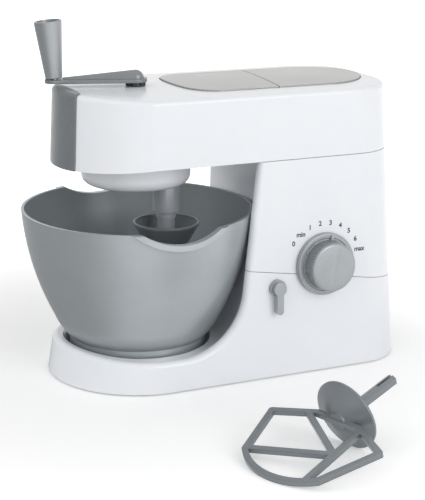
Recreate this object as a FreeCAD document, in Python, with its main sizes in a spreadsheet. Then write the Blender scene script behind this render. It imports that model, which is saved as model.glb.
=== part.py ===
"""Toy stand mixer with a tilting head, a hand crank and a planetary tool drive."""

import FreeCAD, Part
import math
import os
import re

import Sketcher

from FreeCAD import Placement, Rotation, Vector

# Driving dimensions: alias, millimetres (degrees for angles, counts for teeth), meaning.
# The mixing bowl's axis is the origin, the nose points to -X and the controls face -Y.
SIZES = (
    ("wall", 2.4, "thickness of the moulded cases"),
    ("seam_gap", 0.4, "gap along the seams between the cases"),
    ("run_gap", 0.3, "clearance between faces that move past each other"),
    ("pin_fit", 0.05, "radial clearance of pins and shafts in their bores"),
    ("foot_height", 2.4, "height of a rubber foot"),
    ("foot_radius", 6.0, "radius of a rubber foot"),
    ("plate_thickness", 2.0, "thickness of the base plate"),
    ("skirt_lift", 1.0, "height of the lower case's edge above the floor"),
    ("half_width", 61.6, "half the width of the case at the floor"),
    ("side_draft", 1.55, "lean of the side walls in degrees"),
    ("rear_reach", 182.2, "distance of the rear wall from the bowl axis at the floor"),
    ("rear_draft", 3.66, "lean of the rear wall in degrees"),
    ("rear_corner", 35.0, "plan radius of the rear corners"),
    ("ring_nose", 27.3, "height of the ring's raised nose"),
    ("ring_top", 21.5, "height of the ring beside the bowl"),
    ("ring_dip", 10.0, "distance of the ring's lowest place ahead of the bowl axis"),
    ("ring_lean", 3.4, "how far the ring's front leans back over its height"),
    ("rim_edge", 3.7, "rounding of the ring's and the pillar's outer edges"),
    ("sweep_start", 8.6, "where the side wall starts to rise from the ring"),
    ("sweep_radius", 44.3, "radius of the sweep from the ring to the pillar"),
    ("sweep_lean", 6.6, "lean of the pillar's front edge in degrees"),
    ("recess_reach", 80.0, "distance of the pillar's recessed front from the bowl axis"),
    ("recess_knee", 98.0, "height where the recessed front starts to follow the bowl"),
    ("recess_radius", 20.0, "radius of the sweep below the recessed front"),
    ("recess_lean", 16.0, "lean of the recessed front below its knee in degrees"),
    ("cheek_thickness", 5.3, "thickness of the cheek beside the recess"),
    ("seam_front_height", 75.0, "height of the tilting seam at its reference point"),
    ("seam_front_reach", 64.0, "reference point of the tilting seam"),
    ("seam_slope", 9.0, "fall of the tilting seam towards the rear in degrees"),
    ("joint_height", 149.0, "height of the seam between pillar and head"),
    ("socket_radius", 49.4, "inner radius of the bowl socket"),
    ("socket_mouth", 4.2, "widening of the bowl socket up to the ring's nose"),
    ("socket_floor", 12.0, "height of the bowl socket's floor"),
    ("nose_reach", 57.0, "distance of the nose's front ahead of the bowl axis at the joint"),
    ("nose_corner", 22.0, "plan radius of the nose's corners"),
    ("nose_centre", 8.5, "distance of the corners' centres ahead of the bowl axis at the joint"),
    ("nose_drop_start", 11.2, "distance ahead of the bowl axis where the nose's lower edge starts to drop"),
    ("nose_drop", 4.8, "drop of the nose's lower edge in degrees"),
    ("nose_draft", 2.3, "lean of the nose in degrees"),
    ("head_height", 45.5, "height of the head's crown above the joint"),
    ("head_crown_radius", 900.0, "radius of the head's crown across its width"),
    ("head_edge", 2.6, "rounding of the head's upper edge"),
    ("panel_front", 23.0, "front of the top panels"),
    ("panel_rear_centre", 126.8, "centre of the top panels' round rear end"),
    ("panel_half_width", 37.2, "half the width of the top panels"),
    ("panel_rise", 0.9, "height of the panels above the head's crown"),
    ("panel_depth", 1.2, "depth of the panels' recess"),
    ("panel_gap", 0.7, "groove round the top panels"),
    ("panel_shoulder", 2.4, "distance of the panels' shoulders behind their front"),
    ("panel_cheek", 8.6, "distance of the panels' cheeks behind their front"),
    ("panel_side", 25.0, "distance behind the panels' front where their sides start"),
    ("panel_shoulder_share", 0.57, "share of the panels' half width at their shoulders"),
    ("panel_cheek_share", 0.83, "share of the panels' half width at their cheeks"),
    ("panel_split_near", 86.0, "where the panels part on the control side"),
    ("panel_split_far", 94.2, "where the panels part on the far side"),
    ("cover_half_width", 23.5, "half the width of the nose cover"),
    ("cover_proud", 0.9, "height of the nose cover above the nose"),
    ("cover_gap", 0.15, "gap round the nose cover"),
    ("cover_seat", 1.2, "depth of the nose cover's seat"),
    ("cover_rear", 46.5, "distance of the nose cover's rear edge ahead of the bowl axis"),
    ("cover_corner", 9.0, "plan radius of the nose cover's rear corners"),
    ("underplate_thickness", 2.2, "thickness of the plate under the head"),
    ("drive_offset", 1.4, "distance of the drive axis ahead of the bowl axis"),
    ("carrier_radius", 36.7, "outer radius of the turning drum"),
    ("carrier_drop", 19.4, "distance of the drum's underside below the joint"),
    ("carrier_wall", 2.0, "wall of the drum"),
    ("carrier_floor", 3.2, "floor of the drum"),
    ("carrier_edge", 7.0, "rounding of the drum's lower edge"),
    ("carrier_turn", -10.7, "rest angle of the drum in degrees"),
    ("gear_module", 1.5, "module of the planet and ring gears"),
    ("planet_teeth", 12, "teeth on the planet gear"),
    ("ring_teeth", 40, "teeth on the ring gear"),
    ("gear_width", 8.0, "face width of the gears"),
    ("gear_backlash", 0.45, "backlash along the pitch circle"),
    ("ring_rim", 2.0, "metal behind the ring gear's teeth"),
    ("web_clearance", 2.4, "space above the gears under the ring gear's web"),
    ("shaft_radius", 3.2, "radius of the drive shaft"),
    ("shaft_flat", 2.5, "distance of the drive shaft's flat from its axis"),
    ("bearing_wall", 2.0, "wall of the bush and of the bearings"),
    ("bush_length", 12.0, "length of the upper bush"),
    ("collar_radius", 6.7, "radius of the drive collar"),
    ("collar_gap", 0.4, "gap between the head and the drive collar"),
    ("collar_height", 2.4, "height of the drive collar"),
    ("collar_notches", 8, "notches round the drive collar"),
    ("arm_thickness", 2.4, "thickness of the crank arm's flange"),
    ("arm_length", 53.5, "distance from the drive axis to the handle"),
    ("arm_hub_radius", 7.6, "radius of the crank arm's hub end"),
    ("arm_tip_radius", 6.1, "radius of the crank arm's handle end"),
    ("arm_rib_height", 8.0, "height of the crank arm's spine at the hub"),
    ("arm_turn", -15.0, "rest angle of the crank arm in degrees"),
    ("grip_length", 37.4, "length of the handle"),
    ("grip_base_radius", 5.7, "radius of the handle's lower end"),
    ("grip_top_radius", 9.1, "radius of the handle's upper end"),
    ("grip_wall", 1.5, "wall of the handle"),
    ("grip_floor", 3.0, "floor of the handle"),
    ("grip_lean", 5.5, "outward lean of the handle in degrees"),
    ("grip_pin_radius", 2.2, "radius of the handle's pin"),
    ("grip_pin_head", 1.4, "width and height of the head on the handle's pin"),
    ("spindle_radius", 9.2, "radius of the tool socket below the drum"),
    ("step_drop", 40.0, "distance of the step where the tool socket narrows below the joint"),
    ("spindle_collar_radius", 6.8, "radius of the tool socket's collar"),
    ("spindle_collar_length", 4.6, "length of the tool socket's collar"),
    ("spindle_nose_radius", 6.0, "radius of the tool socket's nose"),
    ("nose_end_drop", 58.0, "distance of the tool socket's lower end below the joint"),
    ("spindle_journal", 5.6, "radius of the tool socket's journal"),
    ("tool_bore", 4.0, "radius of the tool socket's bore"),
    ("clip_thickness", 1.0, "thickness of the spindle's clip"),
    ("clip_depth", 0.6, "depth of the groove under the spindle's clip"),
    ("clip_width", 2.4, "width of the spindle's clip"),
    ("cup_rim_drop", 47.8, "distance of the mounted tool's cup rim below the joint"),
    ("cup_rim_radius", 22.4, "radius of a tool's cup at its rim"),
    ("cup_band", 1.4, "height of the straight band round a cup's rim"),
    ("hook_cup_depth", 19.5, "depth of the dough hook's cup"),
    ("hook_cup_hub", 12.4, "radius of the dough hook's cup at its floor"),
    ("beater_cup_depth", 8.0, "depth of the K beater's shallow cup"),
    ("beater_cup_hub", 6.0, "radius of the K beater's cup at its floor"),
    ("cup_wall", 1.4, "wall of a tool's cup"),
    ("cup_web_height", 4.0, "height of the webs inside a tool's cup"),
    ("shank_length", 42.0, "length of a tool's shank above the cup rim"),
    ("shank_flat", 3.3, "half the width across the flats of a tool's shank"),
    ("shank_slot", 1.6, "width of the shank's slot"),
    ("shank_slot_length", 14.0, "length of the shank's slot"),
    ("hook_wire", 3.2, "radius of the dough hook's rod"),
    ("hook_swing", 17.0, "sideways reach of the dough hook"),
    ("hook_reach", 70.0, "length of the dough hook below the cup rim"),
    ("beater_reach", 71.0, "length of the K beater below the cup rim"),
    ("beater_half_width", 44.8, "half the width of the K beater"),
    ("beater_bar", 3.7, "width of the K beater's bars"),
    ("beater_thickness", 3.2, "thickness of the K beater's bars"),
    ("beater_place_x", 59.2, "where the loose beater's cup rests along X"),
    ("beater_place_y", -182.6, "where the loose beater's cup rests along Y"),
    ("beater_heading", 17.5, "direction of the loose beater's shank in degrees"),
    ("bowl_rim_radius", 78.0, "outer radius of the bowl's rim"),
    ("bowl_rim_height", 112.7, "height of the bowl's rim"),
    ("bowl_wall", 2.0, "wall of the bowl"),
    ("bowl_waist_radius", 57.3, "radius of the bowl where its two curves meet"),
    ("bowl_waist_height", 40.7, "height of the bowl where its two curves meet"),
    ("bowl_upper_curve", 188.0, "radius of the bowl wall's upper curve"),
    ("bowl_lower_curve", 46.0, "radius of the bowl wall's lower curve"),
    ("bowl_foot_radius", 46.6, "radius of the bowl's foot"),
    ("bowl_foot_top", 25.8, "height of the bowl's foot"),
    ("bowl_foot_step", 0.8, "overhang of the bowl above its foot"),
    ("notch_depth", 7.4, "depth of the finger notches in the bowl's rim"),
    ("notch_half_width", 26.2, "half the width of a finger notch"),
    ("notch_lip", 2.4, "reach of the crescent lip below a finger notch"),
    ("notch_lip_width", 3.8, "width of the crescent lip below a finger notch"),
    ("dial_reach", 111.2, "distance of the dial's centre behind the bowl axis"),
    ("dial_height", 76.1, "height of the dial's centre"),
    ("dial_radius", 21.3, "radius of the dial's skirt"),
    ("dial_skirt", 4.4, "thickness of the dial's skirt"),
    ("dial_grip_radius", 17.2, "radius of the dial's grip"),
    ("dial_depth", 14.6, "height of the dial above the wall"),
    ("dial_ridge", 1.0, "height of the dial's ridge"),
    ("dial_ridge_width", 4.4, "width of the dial's ridge"),
    ("knob_wall", 2.0, "wall of the dial and of the lever"),
    ("dial_turn", 10.0, "rest angle of the dial's pointer in degrees"),
    ("dial_shaft_radius", 3.0, "radius of the dial's shaft"),
    ("ratchet_radius", 5.4, "radius of the dial's click wheel"),
    ("ratchet_notches", 12, "notches of the dial's click wheel"),
    ("ratchet_width", 3.0, "width of the dial's click wheel"),
    ("ratchet_depth", 6.0, "depth of the click wheel's outer face behind the wall's face"),
    ("leaf_thickness", 0.5, "thickness of the click spring"),
    ("lever_reach", 75.4, "distance of the lever's pivot behind the bowl axis"),
    ("lever_height", 63.2, "height of the lever's pivot"),
    ("lever_boss_radius", 5.7, "radius of the lever's boss"),
    ("lever_width", 4.8, "width of the lever's tongue"),
    ("lever_length", 17.6, "length of the lever's tongue"),
    ("lever_depth", 6.2, "height of the lever above the wall"),
    ("lever_swing", 15.0, "travel of the lever in degrees"),
    ("prong_inset", 10.5, "depth of the latch prong behind the wall's face"),
    ("prong_arm", 8.6, "distance of the latch prong behind the lever's axis"),
    ("prong_rise", 16.8, "height of the latch prong above the lever's axis"),
    ("prong_width", 3.0, "width and thickness of the latch prong"),
    ("lever_shaft_radius", 2.2, "radius of the lever's shaft"),
    ("hinge_stand_off", 4.2, "distance of the hinge axis behind the rear wall"),
    ("hinge_radius", 3.6, "radius of the hinge knuckles"),
    ("hinge_pin_radius", 1.5, "radius of the hinge pin"),
    ("hinge_half_width", 10.0, "half the width of the hinge"),
    ("hinge_inner_half", 4.6, "half the width of the middle knuckle"),
    ("screw_radius", 1.3, "radius of the case screws"),
    ("screw_head_radius", 2.6, "radius of the case screws' heads"),
    ("screw_length", 9.0, "length of the case screws below their heads"),
    ("screw_hold", 5.0, "height of the bosses under the screws that join pillar and head"),
    ("short_screw_length", 5.0, "length of the ring gear's screws below their heads"),
    ("boss_radius", 3.2, "radius of the screw bosses"),
)
# Heights that follow the joint between pillar and head: alias, expression, meaning.
LEVELS = (
    ("head_crown_height", "joint_height + head_height", "height of the head's crown"),
    ("collar_base", "head_crown_height + collar_gap", "height of the drive collar's underside"),
    ("arm_base", "collar_base + collar_height", "height of the crank arm's underside"),
    ("carrier_bottom", "joint_height - carrier_drop", "height of the drum's underside"),
    ("spindle_step", "joint_height - step_drop", "height where the tool socket narrows"),
    ("spindle_nose_end", "joint_height - nose_end_drop", "height of the tool socket's lower end"),
    ("cup_rim_height", "joint_height - cup_rim_drop", "height of the mounted tool's cup rim"),
)
ALIASES = {row[0] for row in SIZES + LEVELS}

doc = FreeCAD.newDocument("toy_stand_mixer")
sheet = doc.addObject("Spreadsheet::Sheet", "Sizes")
for line, (alias, amount, meaning) in enumerate(SIZES + LEVELS, start=1):
    sheet.set(f"A{line}", meaning)
    sheet.set(f"B{line}", f"={amount}" if isinstance(amount, str) else str(amount))
    sheet.setAlias(f"B{line}", alias)
doc.recompute()

NODES = []


def size(alias):
    """Value of one cell."""
    return float(sheet.get(alias))


def formula(text):
    """Expression in which each alias is written as its cell."""
    return re.sub(r"[a-z][a-z_]+", lambda m: "Sizes." + m[0] if m[0] in ALIASES else m[0], str(text))


def worth(text):
    """Present value of an expression."""
    return float(sheet.evalExpression(formula(text)))


def bind(item, **formulas):
    """Tie properties of an object to expressions."""
    for name, text in formulas.items():
        item.setExpression(name, formula(text))


def place(item, x=0, y=0, z=0, turn=None):
    """Set an object down at a place given by expressions."""
    item.Placement = Placement(Vector(worth(x), worth(y), worth(z)), turn or Rotation())
    for axis, text in (("x", x), ("y", y), ("z", z)):
        item.setExpression(f"Placement.Base.{axis}", formula(text))
    return item


def keep(item, label=""):
    """Register an object as a sub-part under its own name."""
    item.Label = label or item.Name
    NODES.append(item)
    return item


def feature(label, shape, base=None, turn=None):
    """Sub-part whose shape is built by Part functions."""
    item = doc.addObject("Part::Feature", label)
    item.Shape = shape
    item.Placement = Placement(base or Vector(), turn or Rotation())
    return keep(item, label)


def cylinder(name, radius, height, x=0, y=0, z=0, turn=None):
    """Cylinder bound to the sheet."""
    item = doc.addObject("Part::Cylinder", name)
    bind(item, Radius=radius, Height=height)
    return place(item, x, y, z, turn)


def box(name, length, width, height, x=0, y=0, z=0, turn=None):
    """Box bound to the sheet."""
    item = doc.addObject("Part::Box", name)
    bind(item, Length=length, Width=width, Height=height)
    return place(item, x, y, z, turn)


def cut_from(first, name, tools):
    """Object less one or more tools."""
    item = doc.addObject("Part::Cut", name)
    item.Base = first
    item.Tool = tools[0]
    if len(tools) > 1:
        item.Tool = joined(name + "_tools", tools)
    return item


def joined(name, parts):
    """Objects made into one."""
    item = doc.addObject("Part::MultiFuse", name)
    item.Shapes = parts
    return item


# Sketches


def origin_plane(body, role):
    """Plane of a body's own origin."""
    return next(plane for plane in body.Origin.OriginFeatures if plane.Role == role)


def run_between(start, end, bend):
    """Line, or arc of a signed radius, from start to end, with its sketch point order."""
    if bend is None:
        return Part.LineSegment(start, end), (1, 2)
    radius = abs(bend)
    half = (end - start) * 0.5
    rise = math.sqrt(max(radius * radius - half.Length ** 2, 0.0))
    normal = Vector(-half.y, half.x, 0).normalize()
    side = 1 if bend > 0 else -1
    centre = start + half + normal * (rise * side)
    angles = [math.atan2(point.y - centre.y, point.x - centre.x) for point in (start, end)]
    circle = Part.Circle(centre, Vector(0, 0, 1), radius)
    if side > 0:
        return Part.ArcOfCircle(circle, angles[0], angles[1]), (1, 2)
    return Part.ArcOfCircle(circle, angles[1], angles[0]), (2, 1)


def outline(body, name, role, corners, bends=None, level=0):
    """Closed sketch through corners given as expressions, raised above its plane to a level.

    A bend is the signed radius of the run that leaves its corner, positive where the run turns left.
    """
    bends = bends or {}
    sketch = body.newObject("Sketcher::SketchObject", name)
    sketch.AttachmentSupport = [(origin_plane(body, role), "")]
    sketch.MapMode = "FlatFace"
    sketch.AttachmentOffset = Placement(Vector(0, 0, worth(level)), Rotation())
    sketch.setExpression("AttachmentOffset.Base.z", formula(level))
    points = [Vector(worth(x), worth(y), 0) for x, y in corners]
    orders = []
    for index, start in enumerate(points):
        bend = worth(bends[index]) if index in bends else None
        run, order = run_between(start, points[(index + 1) % len(points)], bend)
        sketch.addGeometry(run, False)
        orders.append(order)
    for index, order in enumerate(orders):
        following = (index + 1) % len(orders)
        start = orders[following][0]
        sketch.addConstraint(Sketcher.Constraint("Coincident", index, order[1], following, start))
    for index, (x, y) in enumerate(corners):
        for kind, text in (("DistanceX", x), ("DistanceY", y)):
            spot = Sketcher.Constraint(kind, -1, 1, index, orders[index][0], worth(text))
            sketch.renameConstraint(sketch.addConstraint(spot), f"{kind[-1].lower()}{index}")
            sketch.setExpression(f"Constraints.{kind[-1].lower()}{index}", formula(text))
    for index, text in bends.items():
        arc = Sketcher.Constraint("Radius", index, abs(worth(text)))
        sketch.renameConstraint(sketch.addConstraint(arc), f"bend{index}")
        sketch.setExpression(f"Constraints.bend{index}", formula(f"abs({text})"))
    return sketch


def new_body(label):
    """Empty body registered as a sub-part."""
    return keep(doc.addObject("PartDesign::Body", label), label)


def revolve(body, name, corners, bends=None):
    """Revolution about the body's Z axis of an outline in its XZ plane."""
    sketch = outline(body, name + "_outline", "XZ_Plane", corners, bends)
    item = body.newObject("PartDesign::Revolution", name)
    item.Profile = sketch
    item.ReferenceAxis = (sketch, ["V_Axis"])
    item.Angle = 360
    doc.recompute()
    return item


def extrude(body, kind, name, role, corners, length, bends=None, level=0, symmetric=False):
    """Pad or pocket of an outline in, or above, one of the body's planes."""
    sketch = outline(body, name + "_outline", role, corners, bends, level)
    item = body.newObject(kind, name)
    item.Profile = sketch
    item.setExpression("Length", formula(length))
    item.SideType = "Symmetric" if symmetric else "One side"
    doc.recompute()
    return item


def ring_of(x, radius):
    """Corners and bends of a circle made of three arcs, centred on the sketch's X axis."""
    side = f"sqrt(0.75) * ({radius})"
    back = f"({x}) - ({radius}) / 2"
    corners = [(f"({x}) + ({radius})", 0), (back, side), (back, f"-{side}")]
    return corners, {0: radius, 1: radius, 2: radius}


def shaft_socket():
    """Corners and bends of the flatted hole that fits the drive shaft."""
    radius = "(shaft_radius + pin_fit)"
    flat = "(shaft_flat + pin_fit)"
    side = f"sqrt({radius}^2 - {flat}^2)"
    return [(flat, f"-{side}"), (flat, side), (f"-{radius}", 0)], {1: radius, 2: radius}


# Shapes of the cases


def tangent(alias):
    """Tangent of an angle of the sheet."""
    return math.tan(math.radians(size(alias)))


def half_width_at(height):
    """Half the case's width at a height."""
    return size("half_width") - height * tangent("side_draft")


def rear_at(height):
    """Distance of the rear wall from the bowl axis at a height."""
    return size("rear_reach") - height * tangent("rear_draft")


def ring_centre(height):
    """Centre of the case's round front, which leans back as it rises."""
    return size("ring_lean") * height / size("ring_nose")


def seam_height(x):
    """Height of the tilting seam at a distance behind the bowl axis."""
    return size("seam_front_height") - (x - size("seam_front_reach")) * tangent("seam_slope")


def nose_arcs(height, start, reach, half, corner):
    """Round front between two corners, tangent to them, from the far side to the control side."""
    ahead = reach + start
    centre = half - corner
    radius = (ahead ** 2 + centre ** 2 - corner ** 2) / (2 * (ahead - corner))
    angle = math.atan2(centre, radius - ahead)
    arcs = []
    for way in (1, -1):
        spots = []
        for turn in (math.pi / 2, (math.pi / 2 + angle) / 2, angle):
            side = centre + corner * math.sin(turn)
            spots.append(Vector(start - corner * math.cos(turn), way * side, height))
        arcs.append(spots)
    far, near = arcs
    tip = Vector(-reach, 0, height)
    runs = [far, (far[2], tip, near[2]), near[::-1]]
    return [Part.Arc(*run).toShape() for run in runs]


def plan_wire(height, inset, nose):
    """Plan outline of the case at a height: round front, straight sides and round rear corners."""
    half = half_width_at(height) - inset
    rear = rear_at(height) - inset
    corner = size("rear_corner") - inset
    turn = corner * math.sqrt(0.5)
    if nose:
        shift = (height - size("joint_height")) * tangent("nose_draft")
        front = shift - size("nose_centre")
        reach = size("nose_reach") - shift - inset
        edges = nose_arcs(height, front, reach, half, size("nose_corner") - inset)
    else:
        front = ring_centre(height)
        circle = Part.Circle(Vector(front, 0, height), Vector(0, 0, 1), half)
        edges = [Part.ArcOfCircle(circle, math.pi / 2, math.pi * 1.5).toShape()]
    spots = []
    for side in (-1, 1):
        spots.append((Vector(rear - corner, side * half, height),
                      Vector(rear - corner + turn, side * (half - corner + turn), height),
                      Vector(rear, side * (half - corner), height)))
    near, far = spots
    edges.append(Part.makeLine(Vector(front, -half, height), near[0]))
    edges.append(Part.Arc(*near).toShape())
    edges.append(Part.makeLine(near[2], far[2]))
    edges.append(Part.Arc(*reversed(far)).toShape())
    edges.append(Part.makeLine(far[0], Vector(front, half, height)))
    return Part.Wire(edges)


def case_block(levels, inset=0.0, nose=False):
    """Solid between the plan outlines at rising heights."""
    return Part.makeLoft([plan_wire(height, inset, nose) for height in levels], True, True)


def side_plate(points, near=-200.0, far=200.0):
    """Prism across the width whose outline, in the XZ plane, runs through points.

    A point with four values also gives the middle of the arc that leaves it.
    """
    edges = []
    for start, finish in zip(points, points[1:] + points[:1]):
        begin = Vector(start[0], near, start[1])
        end = Vector(finish[0], near, finish[1])
        if len(start) == 4:
            edges.append(Part.Arc(begin, Vector(start[2], near, start[3]), end).toShape())
        else:
            edges.append(Part.makeLine(begin, end))
    return Part.Face(Part.Wire(edges)).extrude(Vector(0, far - near, 0))


# Farther than any place on the mixer, for cutters and half spaces.
REACH = 300.0


def sweep_run(start, radius, lean, inset):
    """Points of a front edge: from the ring's top round the sweep, up to the end of its arc."""
    base = size("ring_top")
    middle = math.radians(90 + lean) / 2
    run = radius + inset
    tilt = math.radians(lean)
    return [(start, base - inset, start + run * math.cos(middle), base + radius - run * math.sin(middle)),
            (start + run * math.cos(tilt), base + radius - run * math.sin(tilt))]


def cheek_front(inset=0.0):
    """Front edge of the cheek, from the ring's top upwards."""
    lean = size("sweep_lean")
    run = sweep_run(size("sweep_start"), size("sweep_radius"), lean, inset)
    rise = REACH - run[-1][1]
    return run + [(run[-1][0] + rise * math.tan(math.radians(lean)), REACH)]


def recess_front(inset=0.0):
    """Front of the pillar's recess, from the ring's top upwards."""
    lean = math.radians(size("recess_lean"))
    radius = size("recess_radius")
    knee = (size("recess_reach") + inset, size("recess_knee") + inset * math.tan(lean / 2))
    drop = size("recess_knee") - size("ring_top") - radius * (1 - math.sin(lean))
    start = size("recess_reach") - drop * math.tan(lean) - radius * math.cos(lean)
    return sweep_run(start, radius, size("recess_lean"), inset) + [knee, (knee[0], REACH)]


def ring_rise(inset):
    """Points of the ring's top, which sinks in an arc from the raised nose to the bowl's side."""
    lead = -size("half_width") - size("rim_edge")
    run = lead + size("ring_dip")
    rise = size("ring_nose") - size("ring_top")
    level = size("ring_top") - inset
    sink = (lead, level + rise, lead - run / 2, level + rise / 4)
    return [(lead, -REACH), sink, (-size("ring_dip"), level)]


def behind(front, inset=0.0):
    """All that lies behind a front edge or below the ring's top."""
    return side_plate(ring_rise(inset) + front + [(REACH, REACH), (REACH, -REACH)])


def seam_side(above, shift):
    """Half space above or below the tilting seam, moved up by a shift."""
    ends = [(x, seam_height(x) + shift) for x in (-REACH, REACH)]
    level = REACH if above else -REACH
    return side_plate(ends + [(REACH, level), (-REACH, level)])


def slab(low, high):
    """Everything between two heights."""
    return Part.makeBox(2 * REACH, 2 * REACH, high - low, Vector(-REACH, -REACH, low))


def rod(radius, start, end):
    """Solid cylinder between two points."""
    return Part.makeCylinder(radius, (end - start).Length, start, end - start)


def on_wall(point):
    """Whether a point lies on the case's side walls or on its round front."""
    half = half_width_at(point.z)
    front = ring_centre(point.z)
    if point.x >= front:
        return abs(abs(point.y) - half) < 0.05
    return abs(math.hypot(point.x - front, point.y) - half) < 0.05


def rim_edges(shape, near, far):
    """Edges where the outer walls meet the ring's top and the pillar's two fronts."""
    picked = []
    for edge in shape.Edges:
        points = edge.discretize(5)
        front = near if points[2].y < -1 else far
        if all(on_wall(point) and Part.Vertex(point).distToShape(front)[0] < 0.02 for point in points):
            picked.append(edge)
    return picked


def case_outer():
    """Outside of the ring and the pillar in one solid, with its edges rounded."""
    cheek = behind(cheek_front())
    recess = behind(recess_front())
    top = size("joint_height") + size("sweep_radius") / 2
    block = case_block([size("skirt_lift"), top])
    inner = case_block([size("skirt_lift"), REACH], size("cheek_thickness"))
    far_side = Part.makeBox(2 * REACH, REACH, REACH, Vector(-REACH, 0, 0))
    space = slab(size("ring_top"), REACH).cut(recess).common(inner.fuse(far_side))
    body = block.common(cheek).cut(space)
    body = body.makeFillet(size("rim_edge"), rim_edges(body, cheek.Shells[0], recess.Shells[0]))
    return body.cut(socket_mouth(0))


def socket_mouth(grow):
    """Cone that widens the bowl socket towards the ring's nose, grown by a thickness."""
    base = Vector(0, 0, size("ring_top") - grow)
    radius = size("socket_radius") + grow
    height = size("ring_nose") - size("ring_top")
    cone = Part.makeCone(radius, radius + size("socket_mouth"), height, base)
    return cone.fuse(Part.makeCylinder(radius + size("socket_mouth"), height, base + Vector(0, 0, height)))


def case_inner():
    """Hollow of the ring and the pillar in one solid."""
    wall = size("wall")
    top = size("joint_height") + size("sweep_radius") / 2
    block = case_block([-wall, top], wall)
    floor = Vector(0, 0, size("socket_floor") - wall)
    socket = Part.makeCylinder(size("socket_radius") + wall, REACH, floor)
    ahead = Part.makeBox(REACH, 2 * REACH, REACH, Vector(-REACH, -REACH, 0))
    mouth = socket_mouth(wall).common(ahead)
    return block.common(behind(recess_front(wall), wall)).cut([socket, mouth])


CASE_OUTER = case_outer()
CASE_INNER = case_inner()
PLATE_TOP = size("foot_height") + size("plate_thickness")
HINGE_Z = "(seam_front_height - (rear_reach - seam_front_reach) * tan(seam_slope))"
HINGE_X = f"(rear_reach - {HINGE_Z} * tan(rear_draft) + hinge_stand_off)"
CLIP_BASE = "(carrier_bottom + carrier_floor + gear_width + 2 * run_gap)"


def base_screw_spots():
    """Places of the screws that hold the base plate, as seen from above."""
    boss = size("boss_radius")
    ring = size("socket_radius") + size("wall") + boss
    angle = math.radians(20)
    side = size("half_width") - size("wall") - 2 * boss
    rear = size("rear_reach") - size("wall") - 2 * boss
    middle = size("recess_reach") + 6 * boss
    near = [(-ring * math.cos(angle), ring * math.sin(angle)), (middle, side), (rear, side / 3)]
    return [Vector(x, y * way, 0) for x, y in near for way in (-1, 1)]


def screw(head_face, direction, length):
    """Countersunk screw with a cross recess; the head's face lies at the given point."""
    radius = size("screw_radius")
    head = size("screw_head_radius")
    depth = head - radius
    body = Part.makeCone(head, radius, depth)
    body = body.fuse(Part.makeCylinder(radius, length, Vector(0, 0, depth)))
    for width, breadth in ((head * 1.3, head * 0.3), (head * 0.3, head * 1.3)):
        corner = Vector(-width / 2, -breadth / 2, -depth)
        body = body.cut(Part.makeBox(width, breadth, depth * 1.6, corner))
    body.Placement = Placement(head_face, Rotation(Vector(0, 0, 1), direction))
    return body


def screw_hole(head_face, direction, through):
    """Clearance for a screw and its head."""
    radius = size("screw_radius") + size("pin_fit")
    head = size("screw_head_radius") + size("pin_fit")
    body = Part.makeCone(head, radius, head - radius)
    body = body.fuse(Part.makeCylinder(radius, through))
    body.Placement = Placement(head_face, Rotation(Vector(0, 0, 1), direction))
    return body


def screws(label, spots, direction, length):
    """Set of like screws in one sub-part."""
    return feature(label, Part.makeCompound([screw(spot, direction, length) for spot in spots]))


def hinge_axis():
    """Centre of the hinge, behind the rear wall at the height of the tilting seam."""
    return Vector(worth(HINGE_X), 0, worth(HINGE_Z))


def knuckle(low, high, above):
    """Hinge knuckle between two places across the width, with the web that ties it to its case."""
    axis = hinge_axis()
    radius = size("hinge_radius")
    barrel = rod(radius, axis + Vector(0, low, 0), axis + Vector(0, high, 0))
    wall_face = rear_at(axis.z)
    root = wall_face - size("wall") / 2
    foot = axis.z - 2 * radius
    height = 2 * radius
    if above:
        foot = seam_height(root) + size("seam_gap")
        height = axis.z + 2 * radius - foot
    web = Part.makeBox(axis.x - root, high - low, height, Vector(root, low, foot))
    bore_radius = size("hinge_pin_radius") + size("pin_fit")
    bore = rod(bore_radius, axis + Vector(0, low - 1, 0), axis + Vector(0, high + 1, 0))
    return barrel.fuse(web).cut(bore)


def outward():
    """Direction in which the control side's wall faces."""
    return wall_turn().multVec(Vector(0, 0, 1))


def wall_turn():
    """Rotation that carries a piece built along +Z so that it stands out of the side wall."""
    return Rotation(Vector(1, 0, 0), 90 - size("side_draft"))


def on_side(reach, height):
    """Point of the control side's wall."""
    return Vector(size(reach), -half_width_at(size(height)), size(height))


def prong_slot():
    """Way for the latch prong through the deck and through the pillar's floor."""
    axis = on_side("lever_reach", "lever_height")
    width = size("prong_width")
    swing = math.sin(math.radians(size("lever_swing"))) * size("prong_rise")
    front = axis.x + size("prong_arm") - 1.8 * width
    near = axis.y + size("prong_inset") - width / 3
    length = swing + 2.6 * width
    return Part.makeBox(length, width * 5 / 3, size("prong_rise") * 2, Vector(front, near, axis.z + 2))


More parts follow.
